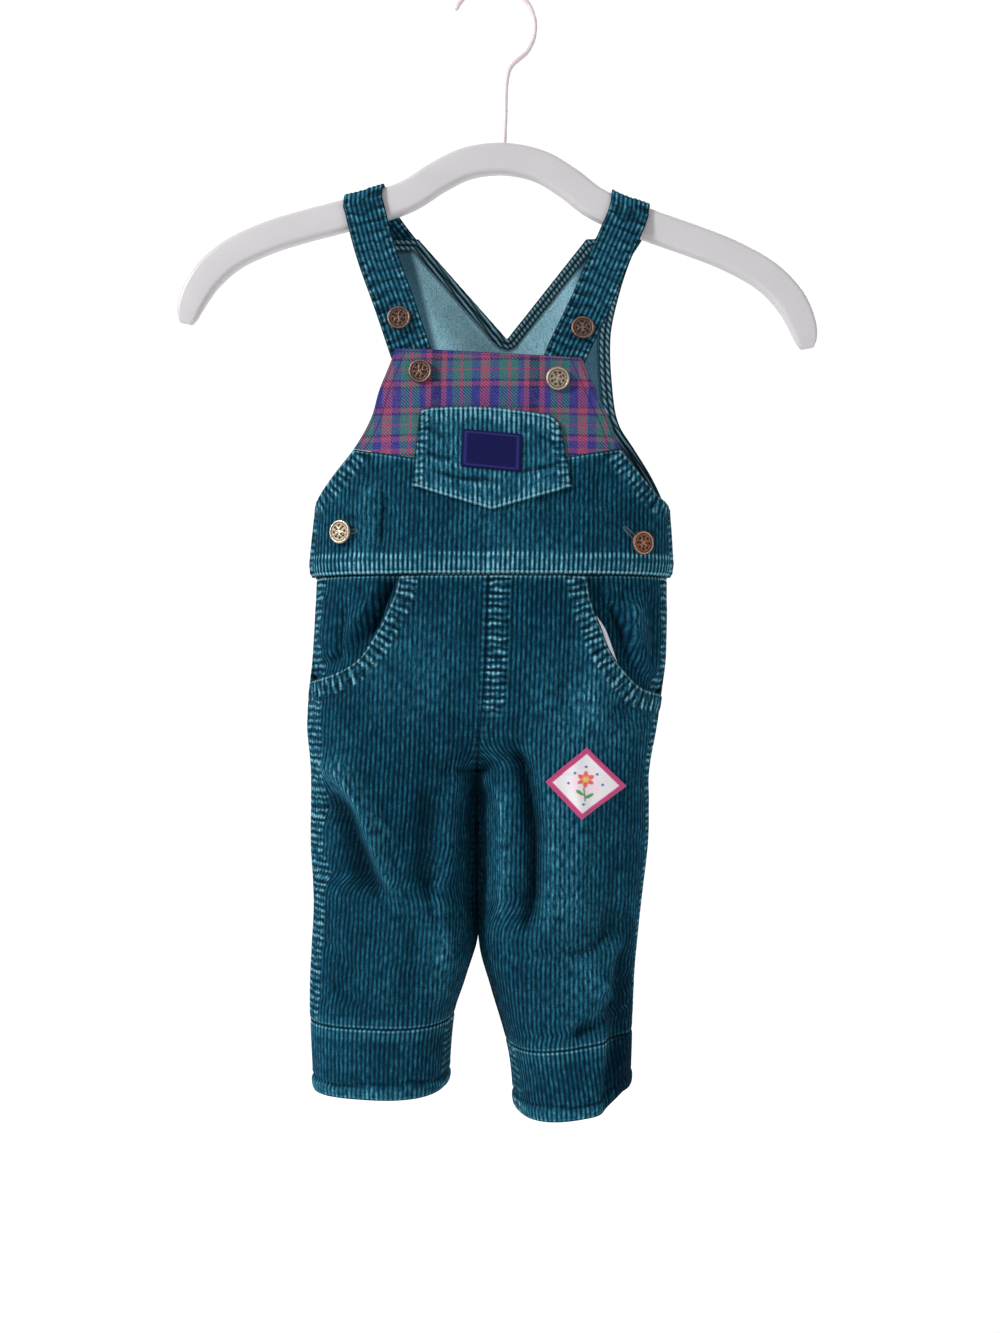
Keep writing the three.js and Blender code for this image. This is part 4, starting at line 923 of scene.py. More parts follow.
def make_leg(side, face):
    region, girth, grain = leg_region(side, face)
    points, normals, fold = girth.surface(region.u + grain[:, None])
    end = SCOOPS[side][-1][0]
    if face == "front":
        cross = np.minimum.reduce([region.away("top"), region.away("bottom"),
                                   region.away("right", below=end - 2)])
        along = np.minimum(region.away("left"), region.away("right", above=end - 2))
    else:
        cross = np.minimum(region.away("top"), region.away("bottom"))
        along = np.minimum(region.away("left"), region.away("right"))
    outer, inner = ("right", "left") if face == "front" else ("left", "right")
    middle = region.away(inner, below=CENTRE_BAND_FOOT)
    inseam = region.away(inner, above=CENTRE_BAND_FOOT)
    side_seam, mouth, run = region.away(outer), np.full(cross.shape, 99.0), region.z
    if face == "front":
        side_seam, mouth = region.away(outer, above=end - 2), region.away(outer, below=end - 2)
        run = np.where(mouth < 14, region.run(outer, below=end - 2), region.z)
    centre_width, centre_strength = CENTRE_BANDS[side, face]
    faded = smooth((region.z - CENTRE_BAND_FOOT) / 14)
    ladder = np.maximum.reduce([band(side_seam, SIDE_BANDS[side, face], 0.95), band(inseam, 4, 0.25),
                                band(middle, centre_width, centre_strength) * faded, band(mouth, 13, 1.0)])
    bars = np.maximum(band(region.away("top"), 2.5, 0.9), band(region.away("bottom"), 5.0, 0.4))
    # How much lighter the pile is made here, and darker as painted shade where the strength is negative;
    # the worn value carries both on to the shader
    lit = sum(strength * np.exp(-(((points[..., 0] - x) / wide) ** 2) - ((region.z - z) / high) ** 2)
              for x, z, wide, high, strength in FADES_AND_SHADE[side, face])
    raised = welt(side_seam, 9) + welt(mouth, 9)
    if centre_width > 9:
        raised = raised + welt(middle, centre_width - 1.5) * smooth((region.z - CENTRE_BAND_FOOT - 6) / 8)
    joined = smooth((4 - region.away(inner)) / 2) * smooth((CENTRE_BAND_FOOT + 12 - region.z) / 12)
    points = points + normals * raised[..., None]
    return corduroy(f"{face}_{side}_leg_shell", (points, normals, fold), region.u, region.z, cross, along,
                    worn=0.08 + lit, ladder=ladder, bars=bars, run=run, joined=joined,
                    first=region.first, last=region.last)


# How far above a hem's foot its crease runs, and from where the right hem is darkened as painted shade
HEM_CREASE, HEM_SHADE_X = 9.4, 73


def make_hem(side):
    leg = LEGS[side]
    levels = stations((leg["seam_z"] - SEAM / 2, 1.6), (leg["hem_z"], 0))
    girth = LegGirth(side, levels)
    wales = round(girth.whole.mean() / WALE)
    share = (np.arange(4 * wales) + 0.5) / (4 * wales)
    points, normals, fold = girth.surface(girth.whole[:, None] * share[None, :])
    z = np.broadcast_to(levels[:, None], fold.shape)
    above = z - leg["hem_z"]
    line = HEM_CREASE + 1.3 * np.sin(points[..., 0] / 13) + 0.5 * np.sin(points[..., 0] / 4.7)
    crease = 0.9 * np.exp(-(((above - 5) / 5) ** 2)) - 1.3 * np.exp(-(((above - line) / 1.2) ** 2))
    # The crease line's fold mark is deepened so that the shader paints shade along it
    fold = fold - 5 * np.exp(-(((above - line) / 1.1) ** 2))
    # Painted shade on the right hem's back part: it deepens the fold mark and lowers the worn value, so the
    # shader darkens it
    shade = 1.5 * smooth((points[..., 0] - HEM_SHADE_X) / 4) if side == "right" else 0
    fold = fold - 5 * shade
    points = points + normals * crease[..., None]
    u = np.broadcast_to(share * 4 * wales * STEP, fold.shape)
    cross = np.minimum(leg["seam_z"] - z, above)
    along = near_ring(girth, share)
    return corduroy(f"{side}_hem_shell", (points, normals, fold), u, z, cross, along,
                    lift=0.3, cloth=HEM_CLOTH, worn=0.14 + 0.34 * smooth((line - 0.5 - above) / 2) - shade,
                    ladder=band(along, 9, 0.6), ring=True,
                    bars=np.maximum(band(above, 7, 0.22), band(leg["seam_z"] - z, 7, 0.5)))


def near_ring(girth, share):
    """The distance round a hem to its inner seam or its side seam."""
    lengths = girth.whole[:, None] * share[None, :]
    inner = np.minimum(lengths, girth.whole[:, None] - lengths)
    return np.minimum(inner, np.abs(lengths - girth.seam[:, None]))


# How the pocket facings are crumpled, in the same form
FACING_FOLDS = {
    "left": [
        (-3.4, 3.2, [(-92, -396), (-98, -424), (-100, -442)]),
        (-5.0, 2.2, [(-62, -384), (-69, -399), (-79, -426)]),
        (2.6, 4.0, [(-90, -417), (-82, -407), (-75, -396)]), (1.8, 4.0, [(-107, -392), (-109, -432)]),
        (-1.6, 2.4, [(-84, -392), (-80, -403)]), (1.2, 2.4, [(-86, -428), (-94, -436)]),
    ],
    "right": [
        (3.2, 5.0, [(86, -396), (89, -414), (90, -432)]),
        (-3.2, 3.0, [(76, -410), (80, -426), (86, -442)]),
        (-2.4, 3.0, [(98, -392), (101, -426), (99, -446)]), (1.4, 3.0, [(70, -392), (74, -404)]),
        (-1.4, 2.2, [(82, -388), (78, -402)]),
        (-5.5, 2.4, [(70, -396), (75, -409), (80, -418), (84, -430)]),
        (2.6, 3.4, [(90, -400), (85, -414), (89, -430)]),
    ],
}


def make_facing(side):
    end = SCOOPS[side][-1][0]
    levels = stations((WAIST_Z - SEAM / 2, ROW), (end + 14, 1.5), (end - 8, 0))
    girth = LegGirth(side, levels)
    scoop_x = column(SCOOPS[side], 1)
    mouth_z = np.linspace(WAIST_Z + 6, end, 49)
    mouth_line = list(zip(scoop_x(mouth_z), mouth_z))
    seam = girth.seam - SIDE_SEAM / 2
    mouth = np.minimum(seam, scoop_length(side, girth))
    start = np.maximum(0, np.minimum(mouth, seam - 18) - FACING_UNDERLAP)
    shares = (levels - levels[0]) / (levels[-1] - levels[0])
    region = Region(shares, level(levels[0]), level(levels[-1]),
                    lambda z: np.interp(-z, -levels, start - seam), lambda z: 0 * z)
    lengths = region.u + seam[:, None]
    points, normals, fold = girth.surface(lengths)
    beyond = np.where(lengths > mouth[:, None], near_line(mouth_line, points[..., 0], region.z)[0], 0)
    at_seam = smooth((7 + region.u) / 7) * smooth((region.z - end - 1) / 5)
    under = smooth((14 - beyond) / 7) * (1 - at_seam)
    deep = smooth((18 - beyond) / 14) * smooth((region.z - end) / 26) * smooth((WAIST_Z - region.z) / 16)
    points = points - normals * ((CORDUROY + FACING_GAP) * under + MOUTH_DEPTH * deep)[..., None]
    for crease in FACING_FOLDS[side]:
        crumple = fold_height(*crease, points[..., 0], region.z)
        crumple = crumple * smooth((region.z - end) / 14) * smooth(region.away("right") / 6)
        fold = fold + crumple
        points = points + normals * crumple[..., None]
    along = np.minimum(region.away("left"), region.away("right"))
    cross = np.minimum(region.away("top"), region.away("bottom"))
    return corduroy(f"{side}_pocket_facing_shell", (points, normals, fold), region.u, region.z,
                    cross, along, worn=0.1, ladder=band(region.away("right"), 16, 0.9),
                    bars=band(region.away("top"), 2.5, 0.6), first=region.first, last=region.last)


# The pocketing's edge in the right mouth: its top and foot, how far it is tucked in, and how far it shows
LINING_TOP, LINING_FOOT = -408, -440
LINING_TUCK, LINING_PEEK = 7, 3.4


def make_lining():
    levels = np.linspace(LINING_TOP, LINING_FOOT, 22)
    girth = LegGirth("right", levels)
    mouth = girth.at_x(column(SCOOPS["right"], 1)(levels))
    peek = LINING_PEEK * np.sin(math.pi * (LINING_TOP - levels) / (LINING_TOP - LINING_FOOT))
    share = np.linspace(0, 1, 15)
    lengths = lerp((mouth - LINING_TUCK)[:, None], (mouth + peek)[:, None], share[None, :])
    points, normals, _ = girth.surface(lengths)
    ruffle = 0.3 * np.sin(levels / 3.1)[:, None] * share[None, :]
    points = points - normals * (CORDUROY + 0.5 + ruffle)[..., None]
    down = np.broadcast_to(levels[:, None], lengths.shape)
    vectors = {"grain": np.stack([lengths, down, 0 * lengths], -1)}
    return wall("right_pocket_lining_shell", points, points - normals * LINING, vectors, [POCKETING])


def right_leg_at():
    """The front of the right leg as a function of x and z, round the badge."""
    levels = np.arange(-484.0, -542.0, -1.5)
    girth = LegGirth("right", levels)
    half = slice(4, SAMPLES // 2 - 10)
    x = np.linspace(20, 92, 289)
    values = [girth.points[..., 1]] + [girth.normals[..., k] for k in range(3)]
    tables = [np.array([np.interp(x, row[half], other[half])
                        for row, other in zip(girth.points[..., 0], value)]) for value in values]

    def surface(wanted_x, wanted_z):
        row = (levels[0] - wanted_z) / (levels[0] - levels[1])
        y, nx, ny, nz = (looked_up(table, row, (wanted_x - x[0]) / (x[1] - x[0])) for table in tables)
        normals = unit(np.stack([nx, ny, nz], -1))
        return np.stack([wanted_x, y, wanted_z], -1), normals, 0 * wanted_x

    return surface


# The hanger: half of its centre line, from the middle out, and its section
HANGER_X, HANGER_HEIGHT, HANGER_DEPTH, HANGER_CORNER = 10, 20, 10, 3.5
HANGER_LINE = [(0, -111), (24, -115), (42, -124.5), (62, -138), (100, -151.5), (126, -159.5),
               (150, -168), (174, -180.5), (190, -196), (199, -213), (202, -226)]
HOOK_WIRE, HOOK_RADIUS, HOOK_TIP, HOOK_DEPTH = 1.5, 27, 158, 14


def spline(points, per_span=24):
    """A smooth curve through points of x, z, as even steps along its length: points and tangents."""
    points = np.array(points, float)
    ends = [2 * points[0] - points[1]], [2 * points[-1] - points[-2]]
    padded = np.concatenate([ends[0], points, ends[1]])
    curve = []
    for p0, p1, p2, p3 in zip(padded, padded[1:], padded[2:], padded[3:]):
        d0, d1, d2 = (np.linalg.norm(b - a) ** 0.5 for a, b in ((p0, p1), (p1, p2), (p2, p3)))
        m1 = ((p1 - p0) / d0 - (p2 - p0) / (d0 + d1) + (p2 - p1) / d1) * d1
        m2 = ((p2 - p1) / d1 - (p3 - p1) / (d1 + d2) + (p3 - p2) / d2) * d1
        t = np.linspace(0, 1, per_span, endpoint=False)[:, None]
        curve.append(p1 + m1 * t + (3 * (p2 - p1) - 2 * m1 - m2) * t**2 + (2 * (p1 - p2) + m1 + m2) * t**3)
    curve = np.concatenate(curve + [points[-1:]])
    lengths = np.concatenate([[0], np.cumsum(np.linalg.norm(np.diff(curve, axis=0), axis=1))])
    return curve, lengths


def along_curve(curve, lengths, count):
    wanted = np.linspace(0, lengths[-1], count + 1)
    points = np.stack([np.interp(wanted, lengths, curve[:, k]) for k in range(2)], -1)
    tangents = unit(np.gradient(points, axis=0))
    return points, tangents


def tilt(x, z):
    cos, sin = math.cos(HANGER_TILT), math.sin(HANGER_TILT)
    return x * cos + z * sin, z * cos - x * sin


def hanger_curve(count):
    right = [(HANGER_X + x, z) for x, z in HANGER_LINE]
    left = [(HANGER_X - x, z) for x, z in reversed(HANGER_LINE[1:])]
    return along_curve(*spline(left + right), count)


def ring_faces(rings, wide, closed=False):
    """The quads between rings of points, and from the last ring back to the first where it is closed."""
    faces = []
    for i in range(rings if closed else rings - 1):
        after = (i + 1) % rings
        for j in range(wide):
            k = (j + 1) % wide
            faces.append([i * wide + j, i * wide + k, after * wide + k, after * wide + j])
    return faces


def sweep(name, points, tangents, section, scale, material):
    """A closed bar: a section of (y, up) swept along a curve in x, z, then tilted as the hanger hangs."""
    up = np.stack([-tangents[:, 1], tangents[:, 0]], -1)
    section = np.array(section)
    ring_x = points[:, None, 0] + up[:, None, 0] * section[None, :, 1] * scale[:, None]
    ring_z = points[:, None, 1] + up[:, None, 1] * section[None, :, 1] * scale[:, None]
    ring_y = section[None, :, 0] * scale[:, None]
    x, z = tilt(ring_x, ring_z)
    rings = np.stack([x, ring_y, z], -1)
    count, wide = rings.shape[:2]
    faces = ring_faces(count, wide)
    faces.append(list(range(wide))[::-1])
    faces.append([(count - 1) * wide + j for j in range(wide)])
    along = np.broadcast_to(np.arange(count)[:, None], (count, wide))
    vectors = {"grain": np.stack([along, ring_y, ring_z], -1).reshape(-1, 3)}
    piece = build(name, rings.reshape(-1, 3), faces, [material], vectors=vectors, sharp=70)
    outwards(piece)
    return piece


def outwards(piece):
    """Turns a closed piece's faces to point out."""
    mesh = piece.data
    mesh.calc_loop_triangles()
    co = np.zeros(len(mesh.vertices) * 3)
    mesh.vertices.foreach_get("co", co)
    co = co.reshape(-1, 3)
    corners = np.zeros(len(mesh.loop_triangles) * 3, int)
    mesh.loop_triangles.foreach_get("vertices", corners)
    a, b, c = (co[corners.reshape(-1, 3)[:, k]] for k in range(3))
    if (a * np.cross(b, c)).sum() < 0:
        mesh.flip_normals()


def rounded_section(depth, height, corner, per_corner=7):
    section = []
    for k, (cy, cz) in enumerate([(1, 1), (-1, 1), (-1, -1), (1, -1)]):
        for turn in np.linspace(0, 90, per_corner):
            angle = math.radians(90 * k + turn)
            section.append((cy * (depth / 2 - corner) + corner * math.cos(angle),
                            cz * (height / 2 - corner) + corner * math.sin(angle)))
    return section


def make_hanger():
    steps = 150
    points, tangents = hanger_curve(steps)
    from_end = np.minimum(np.arange(steps + 1), steps - np.arange(steps + 1)) / steps * 34
    scale = np.interp(from_end, [0, 0.12, 0.35, 0.8, 1.6, 2.4], [0.42, 0.55, 0.7, 0.84, 0.95, 1.0])
    section = rounded_section(HANGER_DEPTH, HANGER_HEIGHT, HANGER_CORNER)
    return sweep("hanger_body_shell", points, tangents, section, scale, HANGER_PLASTIC)


def make_hook():
    centre = -(HOOK_RADIUS - HOOK_WIRE)
    angles = np.radians(np.arange(HOOK_TIP, -36.001, -9.7))
    points = [(HOOK_RADIUS * math.cos(a), centre + HOOK_RADIUS * math.sin(a)) for a in angles]
    foot = HANGER_LINE[0][1] + HANGER_HEIGHT / 2 - HOOK_DEPTH + 2
    points += [(HANGER_X + 2.2, -51), (HANGER_X, -60), (HANGER_X, -84), (HANGER_X, foot)]
    points, tangents = along_curve(*spline(points), 150)
    turns = np.linspace(0, 2 * math.pi, 25)[:-1]
    section = [(HOOK_WIRE * math.sin(a), HOOK_WIRE * math.cos(a)) for a in turns]
    scale = np.ones(151)
    scale[0], scale[1] = 0.6, 0.92
    return sweep("hanger_hook_shell", points, tangents, section, scale, HOOK_ENAMEL)


def hanger_top():
    """The height of the tilted hanger's top edge as a function of x."""
    points, tangents = hanger_curve(400)
    x, z = tilt(points[:, 0] - tangents[:, 1] * HANGER_HEIGHT / 2,
                points[:, 1] + tangents[:, 0] * HANGER_HEIGHT / 2)
    order = np.argsort(x)
    return lambda wanted: np.interp(wanted, x[order], z[order])


# Each strap's middle line, as z and x: on the front, and on the back down to its ear
STRAPS = {
    "left": dict(front=[(-140, -85.8), (-175, -76.5), (-211, -63.8), (-240, -54), (-257, -47.5),
                        (-280, -41)],
                 back=[(-140, -84), (-160, -68.5), (-178, -53.8), (-200, -38.5)]),
    "right": dict(front=[(-140, 90), (-175, 75), (-211, 60), (-241, 46), (-260, 39), (-282, 34)],
                  back=[(-144, 92), (-160, 81.5), (-178, 67.5), (-200, 51)]),
}
# How far the strap clears the bar, how far below the bar's top it turns, and its creases' pitch
BAR_CLEAR = 0.5
UNDER_TOP = 7
STRAP_CREASE = 7.4


def strap_front_y(x, z):
    hanging = lerp(-(HANGER_DEPTH / 2 + BAR_CLEAR), -19, np.clip((-146 - z) / 88, 0, 1))
    bib = on_front(x, z)[0][..., 1] + STRAP_CLOTH + LAY
    return lerp(hanging, bib, smooth((-208 - z) / 24))


def strap_back_y(x, z):
    ear = torso_point(math.pi - side_angle(x, z), z)[0][..., 1] + CORDUROY + LAY
    return lerp(HANGER_DEPTH / 2 + BAR_CLEAR, ear, smooth((-138 - z) / 16))


def make_strap(side):
    top = hanger_top()
    front_x, back_x = column(STRAPS[side]["front"], 1), column(STRAPS[side]["back"], 1)
    across = np.linspace(-STRAP_WIDTH / 2, STRAP_WIDTH / 2, 36)
    bar_x = (front_x(-140) + back_x(-144)) / 2
    bar_slope = (top(bar_x + 9) - top(bar_x - 9)) / 18
    bar_z = float(top(bar_x) - UNDER_TOP)
    rows, normals = [], []

    def station(x, z, slope, y_at, facing):
        length = math.hypot(1, slope)
        px, pz = x + across / length, z + across * slope / length
        rows.append(np.stack([px, y_at(px, pz), pz], -1))
        normals.append(np.broadcast_to(facing, (len(across), 3)))

    last_front, last_back = STRAPS[side]["front"][-1][0], STRAPS[side]["back"][-1][0]
    for z in np.linspace(last_front, bar_z - 5, 76):
        slope = -(front_x(z + 3) - front_x(z - 3)) / 6
        station(float(front_x(z)), z, slope, strap_front_y, (0.0, -1.0, 0.0))
    reach_y, reach_z = HANGER_DEPTH / 2 + BAR_CLEAR, UNDER_TOP + BAR_CLEAR
    for turn in np.radians(np.linspace(-90, 90, 25)):
        x = lerp(front_x(bar_z), back_x(bar_z), (turn / math.pi) + 0.5)
        rise = max(0.0, math.cos(turn)) ** 0.5
        y = math.copysign(abs(math.sin(turn)) ** 0.5, math.sin(turn)) * reach_y
        px = x + across / math.hypot(1, bar_slope)
        rows.append(np.stack([px, np.full_like(px, y), top(px) - UNDER_TOP + rise * reach_z], -1))
        normals.append(np.broadcast_to((0.0, math.sin(turn), math.cos(turn)), (len(across), 3)))
    for z in np.linspace(bar_z - 5, last_back, 26):
        turned = smooth((bar_z - z) / 22)
        slope = lerp(bar_slope, -(back_x(z + 3) - back_x(z - 3)) / 6, turned)
        station(float(back_x(z)), z, slope, strap_back_y, (0.0, 1.0, 0.0))

    points, normals = np.array(rows), np.array(normals)
    middle = points[:, len(across) // 2]
    run = np.concatenate([[0], np.cumsum(np.linalg.norm(np.diff(middle, axis=0), axis=1))])
    u = np.broadcast_to(across[None, :], points.shape[:2])
    v = np.broadcast_to(run[:, None], points.shape[:2])
    along = STRAP_WIDTH / 2 - np.abs(u)
    cross = np.minimum(v, run[-1] - v)
    relief = wale_relief(u) * smooth((along - 0.4) / 1.4)
    rolled = 0.6 * (1 - np.clip(np.minimum(along, cross) / 1.6, 0, 1)) ** 2
    wander = v + 1.5 * np.sin(u / 4.3 + v / 17) + 1.2 * np.sin(v / 11.7 + 2) + 0.7 * np.sin(u / 2.3 - v / 9)
    uneven = 0.7 + 0.3 * np.sin(v / 23 + u / 8)
    crumple = np.clip(np.sin(2 * math.pi * wander / STRAP_CREASE) - 0.15, 0, 1) * uneven
    relief = relief + 0.95 * crumple * smooth(along / 3)
    outer = points + normals * (STRAP_CLOTH - relief - rolled)[..., None]
    inner = points + normals * (0.6 * wale_relief(u) * smooth((along - 0.4) / 1.4) + rolled)[..., None]
    # The creases' fold marks make the shader paint shade along them
    vectors = {"grain": np.stack([u, v, 0.24 + 0 * u], -1),
               "marks": np.stack([cross, along, -16 * crumple], -1),
               "seams": np.stack([v, 0.08 + 0.4 * band(along, 4), 0.5 + band(cross, 8, 0.3)], -1)}
    return wall(f"{side}_strap_shell", outer, inner, vectors, [CORDUROY_FACE])


# Tack buttons: radius and height up the outside, from the neck to the middle of the cap
BUTTON_PROFILE = [(3.0, 0.0), (3.0, 0.7), (3.05, 1.3), (4.5, 1.4), (6.3, 1.5), (7.0, 1.75), (7.4, 2.1),
                  (7.5, 2.5), (7.35, 2.95), (7.05, 3.3), (6.65, 3.5), (6.25, 3.42), (5.95, 3.22),
                  (5.6, 3.1), (5.2, 3.1), (4.8, 3.12), (4.4, 3.12), (4.0, 3.16), (3.5, 3.22), (3.2, 3.26),
                  (2.9, 3.28), (2.6, 3.3), (2.3, 3.32), (2.0, 3.34), (1.7, 3.36), (1.4, 3.38), (0.9, 3.39),
                  (0.4, 3.4)]
RIM_POINTS, BUTTON_HEIGHT = 10, BUTTON_PROFILE[-1][1]
HOLE_CIRCLE, HOLE_RADIUS, HOLE_DEPTH = 2.3, 0.75, 0.9
BEADS, BEAD_CIRCLE = 26, 5.0


def make_button(name, point, normal, lift, spin, material):
    around = np.linspace(0, 2 * math.pi, 97)[:-1]
    profile = np.array(BUTTON_PROFILE)
    radius = np.broadcast_to(profile[:, [0]], (len(profile), len(around))).copy()
    height = np.broadcast_to(profile[:, [1]], radius.shape).copy()
    top = np.arange(len(profile))[:, None] > RIM_POINTS
    x, y = radius * np.cos(around), radius * np.sin(around)
    for k in range(4):
        angle = math.pi * (0.25 + 0.5 * k)
        away = np.hypot(x - HOLE_CIRCLE * math.cos(angle), y - HOLE_CIRCLE * math.sin(angle))
        height -= top * HOLE_DEPTH * smooth((HOLE_RADIUS + 0.25 - away) / 0.5)
        height += top * 0.12 * np.exp(-(((away - HOLE_RADIUS - 0.45) / 0.25) ** 2))
    bead = (0.5 + 0.5 * np.cos(around * BEADS)) * np.exp(-(((radius - BEAD_CIRCLE) / 0.42) ** 2))
    height += top * 0.3 * bead
    local = np.stack([x, y, height], -1).reshape(-1, 3)
    local = np.concatenate([local, [[0, 0, BUTTON_HEIGHT], [0, 0, 0]]])
    count, wide = radius.shape
    faces = ring_faces(count, wide)
    for j in range(wide):
        faces.append([(count - 1) * wide + j, (count - 1) * wide + (j + 1) % wide, count * wide])
        faces.append([(j + 1) % wide, j, count * wide + 1])
    axis = Vector(normal).normalized()
    sideways_axis = Vector((1, 0, 0)) - axis * axis.x
    sideways_axis.normalize()
    upright = axis.cross(sideways_axis)
    turn = np.array([sideways_axis, upright, axis])
    spun = local.copy()
    spun[:, 0] = local[:, 0] * math.cos(spin) - local[:, 1] * math.sin(spin)
    spun[:, 1] = local[:, 0] * math.sin(spin) + local[:, 1] * math.cos(spin)
    foot = np.array(point) + np.array(axis) * (lift + BUTTON_GAP)
    vectors = {"grain": local}
    piece = build(name, spun @ turn + foot, faces, [material], vectors=vectors, sharp=80)
    outwards(piece)
    return piece


def on_strap(x, z):
    slope = (strap_front_y(x, z + 5) - strap_front_y(x, z - 5)) / 10
    return (x, float(strap_front_y(x, z)), z), (0, -1, float(slope))


def on_bib(x, z):
    points, normals, _ = on_front(np.array([float(x)]), np.array([float(z)]))
    return tuple(points[0]), tuple(normals[0])


def make_buttonhole(name, x, z, length, lean):
    """A worked buttonhole: a slim oval ring of close stitches round a slit."""
    steps, sides = 132, 8
    t = np.linspace(0, 2 * math.pi, steps, endpoint=False)
    across = power(np.cos(t)) * length / 2
    down = power(np.sin(t)) * 1.15
    px = x + across * math.cos(lean) - down * math.sin(lean)
    pz = z + across * math.sin(lean) + down * math.cos(lean)
    points, normals, _ = on_front(px, pz)
    rib = 0.72 + 0.14 * np.cos(t * steps / 3)
    tangent = unit(np.roll(points, -1, 0) - np.roll(points, 1, 0))
    side = np.cross(tangent, normals)
    turns = np.linspace(0, 2 * math.pi, sides, endpoint=False)
    out = CORDUROY + 0.1 + 0.45 * rib[:, None] * np.cos(turns)
    ring = (points[:, None] + normals[:, None] * out[..., None]
            + side[:, None] * (rib[:, None] * np.sin(turns))[..., None])
    ring = ring.reshape(-1, 3)
    faces = ring_faces(steps, sides, closed=True)
    piece = build(name, ring, faces, [THREAD], vectors={"grain": ring}, sharp=80)
    outwards(piece)
    return piece


def linear(*colour):
    """A colour of 0 to 255 for the screen as the linear values that a shader takes."""
    share = np.array(colour) / 255
    return tuple(np.where(share <= 0.04045, share / 12.92, ((share + 0.055) / 1.055) ** 2.4)) + (1.0,)


class Num:
    """A number that varies over a surface, as the output of a node, with ordinary arithmetic."""

    def __init__(self, paint, socket):
        self.paint, self.socket = paint, socket

    def _with(self, operation, *others):
        return self.paint.math(operation, self, *others)

    def __add__(self, other):
        return self._with("ADD", other)

    def __sub__(self, other):
        return self._with("SUBTRACT", other)

    def __mul__(self, other):
        return self._with("MULTIPLY", other)

    def __truediv__(self, other):
        return self._with("DIVIDE", other)

    def __pow__(self, other):
        return self.paint.math("POWER", self._with("MAXIMUM", 0.0), other)

    def __rsub__(self, other):
        return self.paint.math("SUBTRACT", other, self)

    __radd__, __rmul__ = __add__, __mul__

    def abs(self):
        return self._with("ABSOLUTE")

    def least(self, other):
        return self._with("MINIMUM", other)

    def most(self, other):
        return self._with("MAXIMUM", other)

    def wave(self, period, shift=0.0):
        """From 0 to 1 and back, once in each period, and 1 at the shift."""
        return 0.5 + 0.5 * self.paint.math("COSINE", (self - shift) * (2 * math.pi / period))

    def step(self, low, high):
        """0 below low, 1 above high, and smooth between them; falling where low is above high."""
        return self.paint.step(self, low, high)

    def hump(self, centre, width):
        """1 at the centre, falling off on both sides."""
        away = (self - centre) / width
        return self.paint.math("EXPONENT", away * away * -1.0)


class Paint:
    """A material and the nodes that make it."""

    def __init__(self, name, **shader):
        self.material = bpy.data.materials.new(name)
        self.material.use_nodes = True
        self.tree = self.material.node_tree
        self.shader = self.tree.nodes["Principled BSDF"]
        for socket, value in shader.items():
            self.shader.inputs[socket.replace("_", " ")].default_value = value

    def feed(self, socket, value):
        if isinstance(value, Num):
            self.tree.links.new(value.socket, socket)
        elif hasattr(value, "is_output"):
            self.tree.links.new(value, socket)
        else:
            socket.default_value = value

    def node(self, kind, **settings):
        node = self.tree.nodes.new(kind)
        for key, value in settings.items():
            setattr(node, key, value)
        return node

    def math(self, operation, *values):
        node = self.node("ShaderNodeMath", operation=operation)
        for socket, value in zip(node.inputs, values):
            self.feed(socket, value)
        return Num(self, node.outputs[0])

    def step(self, value, low, high):
        node = self.node("ShaderNodeMapRange", interpolation_type="SMOOTHSTEP")
        flipped = low > high
        for name, setting in (("Value", value), ("From Min", min(low, high)), ("From Max", max(low, high)),
                              ("To Min", float(flipped)), ("To Max", float(not flipped))):
            self.feed(node.inputs[name], setting)
        return Num(self, node.outputs[0])

    def parts(self, name):
        source = self.node("ShaderNodeAttribute", attribute_name=name)
        split = self.node("ShaderNodeSeparateXYZ")
        self.tree.links.new(source.outputs["Vector"], split.inputs[0])
        return [Num(self, output) for output in split.outputs]

    def vector(self, *values):
        node = self.node("ShaderNodeCombineXYZ")
        for socket, value in zip(node.inputs, values):
            self.feed(socket, value)
        return node.outputs[0]

    def noise(self, *place, detail=2.0, rough=0.55):
        """Noise of about one bump a unit, over a place given as numbers."""
        node = self.node("ShaderNodeTexNoise")
        self.feed(node.inputs["Vector"], self.vector(*place))
        node.inputs["Scale"].default_value = 1.0
        node.inputs["Detail"].default_value = detail
        node.inputs["Roughness"].default_value = rough
        return Num(self, node.outputs["Fac"])

    def blend(self, share, a, b):
        node = self.node("ShaderNodeMix", data_type="RGBA")
        colours = [socket for socket in node.inputs if socket.type == "RGBA"]
        self.feed(node.inputs[0], share)
        self.feed(colours[0], a)
        self.feed(colours[1], b)
        return next(socket for socket in node.outputs if socket.type == "RGBA")

    def stripes(self, place, stops):
        """Colours that change sharply at places from 0 to 1."""
        node = self.node("ShaderNodeValToRGB")
        node.color_ramp.interpolation = "CONSTANT"
        elements = node.color_ramp.elements
        for i, (position, colour) in enumerate(stops):
            element = elements[i] if i < 2 else elements.new(position)
            element.position, element.color = position, colour
        self.feed(node.inputs[0], place)
        return node.outputs[0]

    def finish(self, colour, height=None, roughness=None, depth=0.5):
        """Connects the colour, and a height in units of depth, in millimetres."""
        self.feed(self.shader.inputs["Base Color"], colour)
        if roughness is not None:
            self.feed(self.shader.inputs["Roughness"], roughness)
        if height is not None:
            bump = self.node("ShaderNodeBump")
            bump.inputs["Distance"].default_value = depth * MM
            bump.inputs["Strength"].default_value = 1.0
            self.feed(bump.inputs["Height"], height)
            self.feed(self.shader.inputs["Normal"], bump.outputs[0])
        return self.material


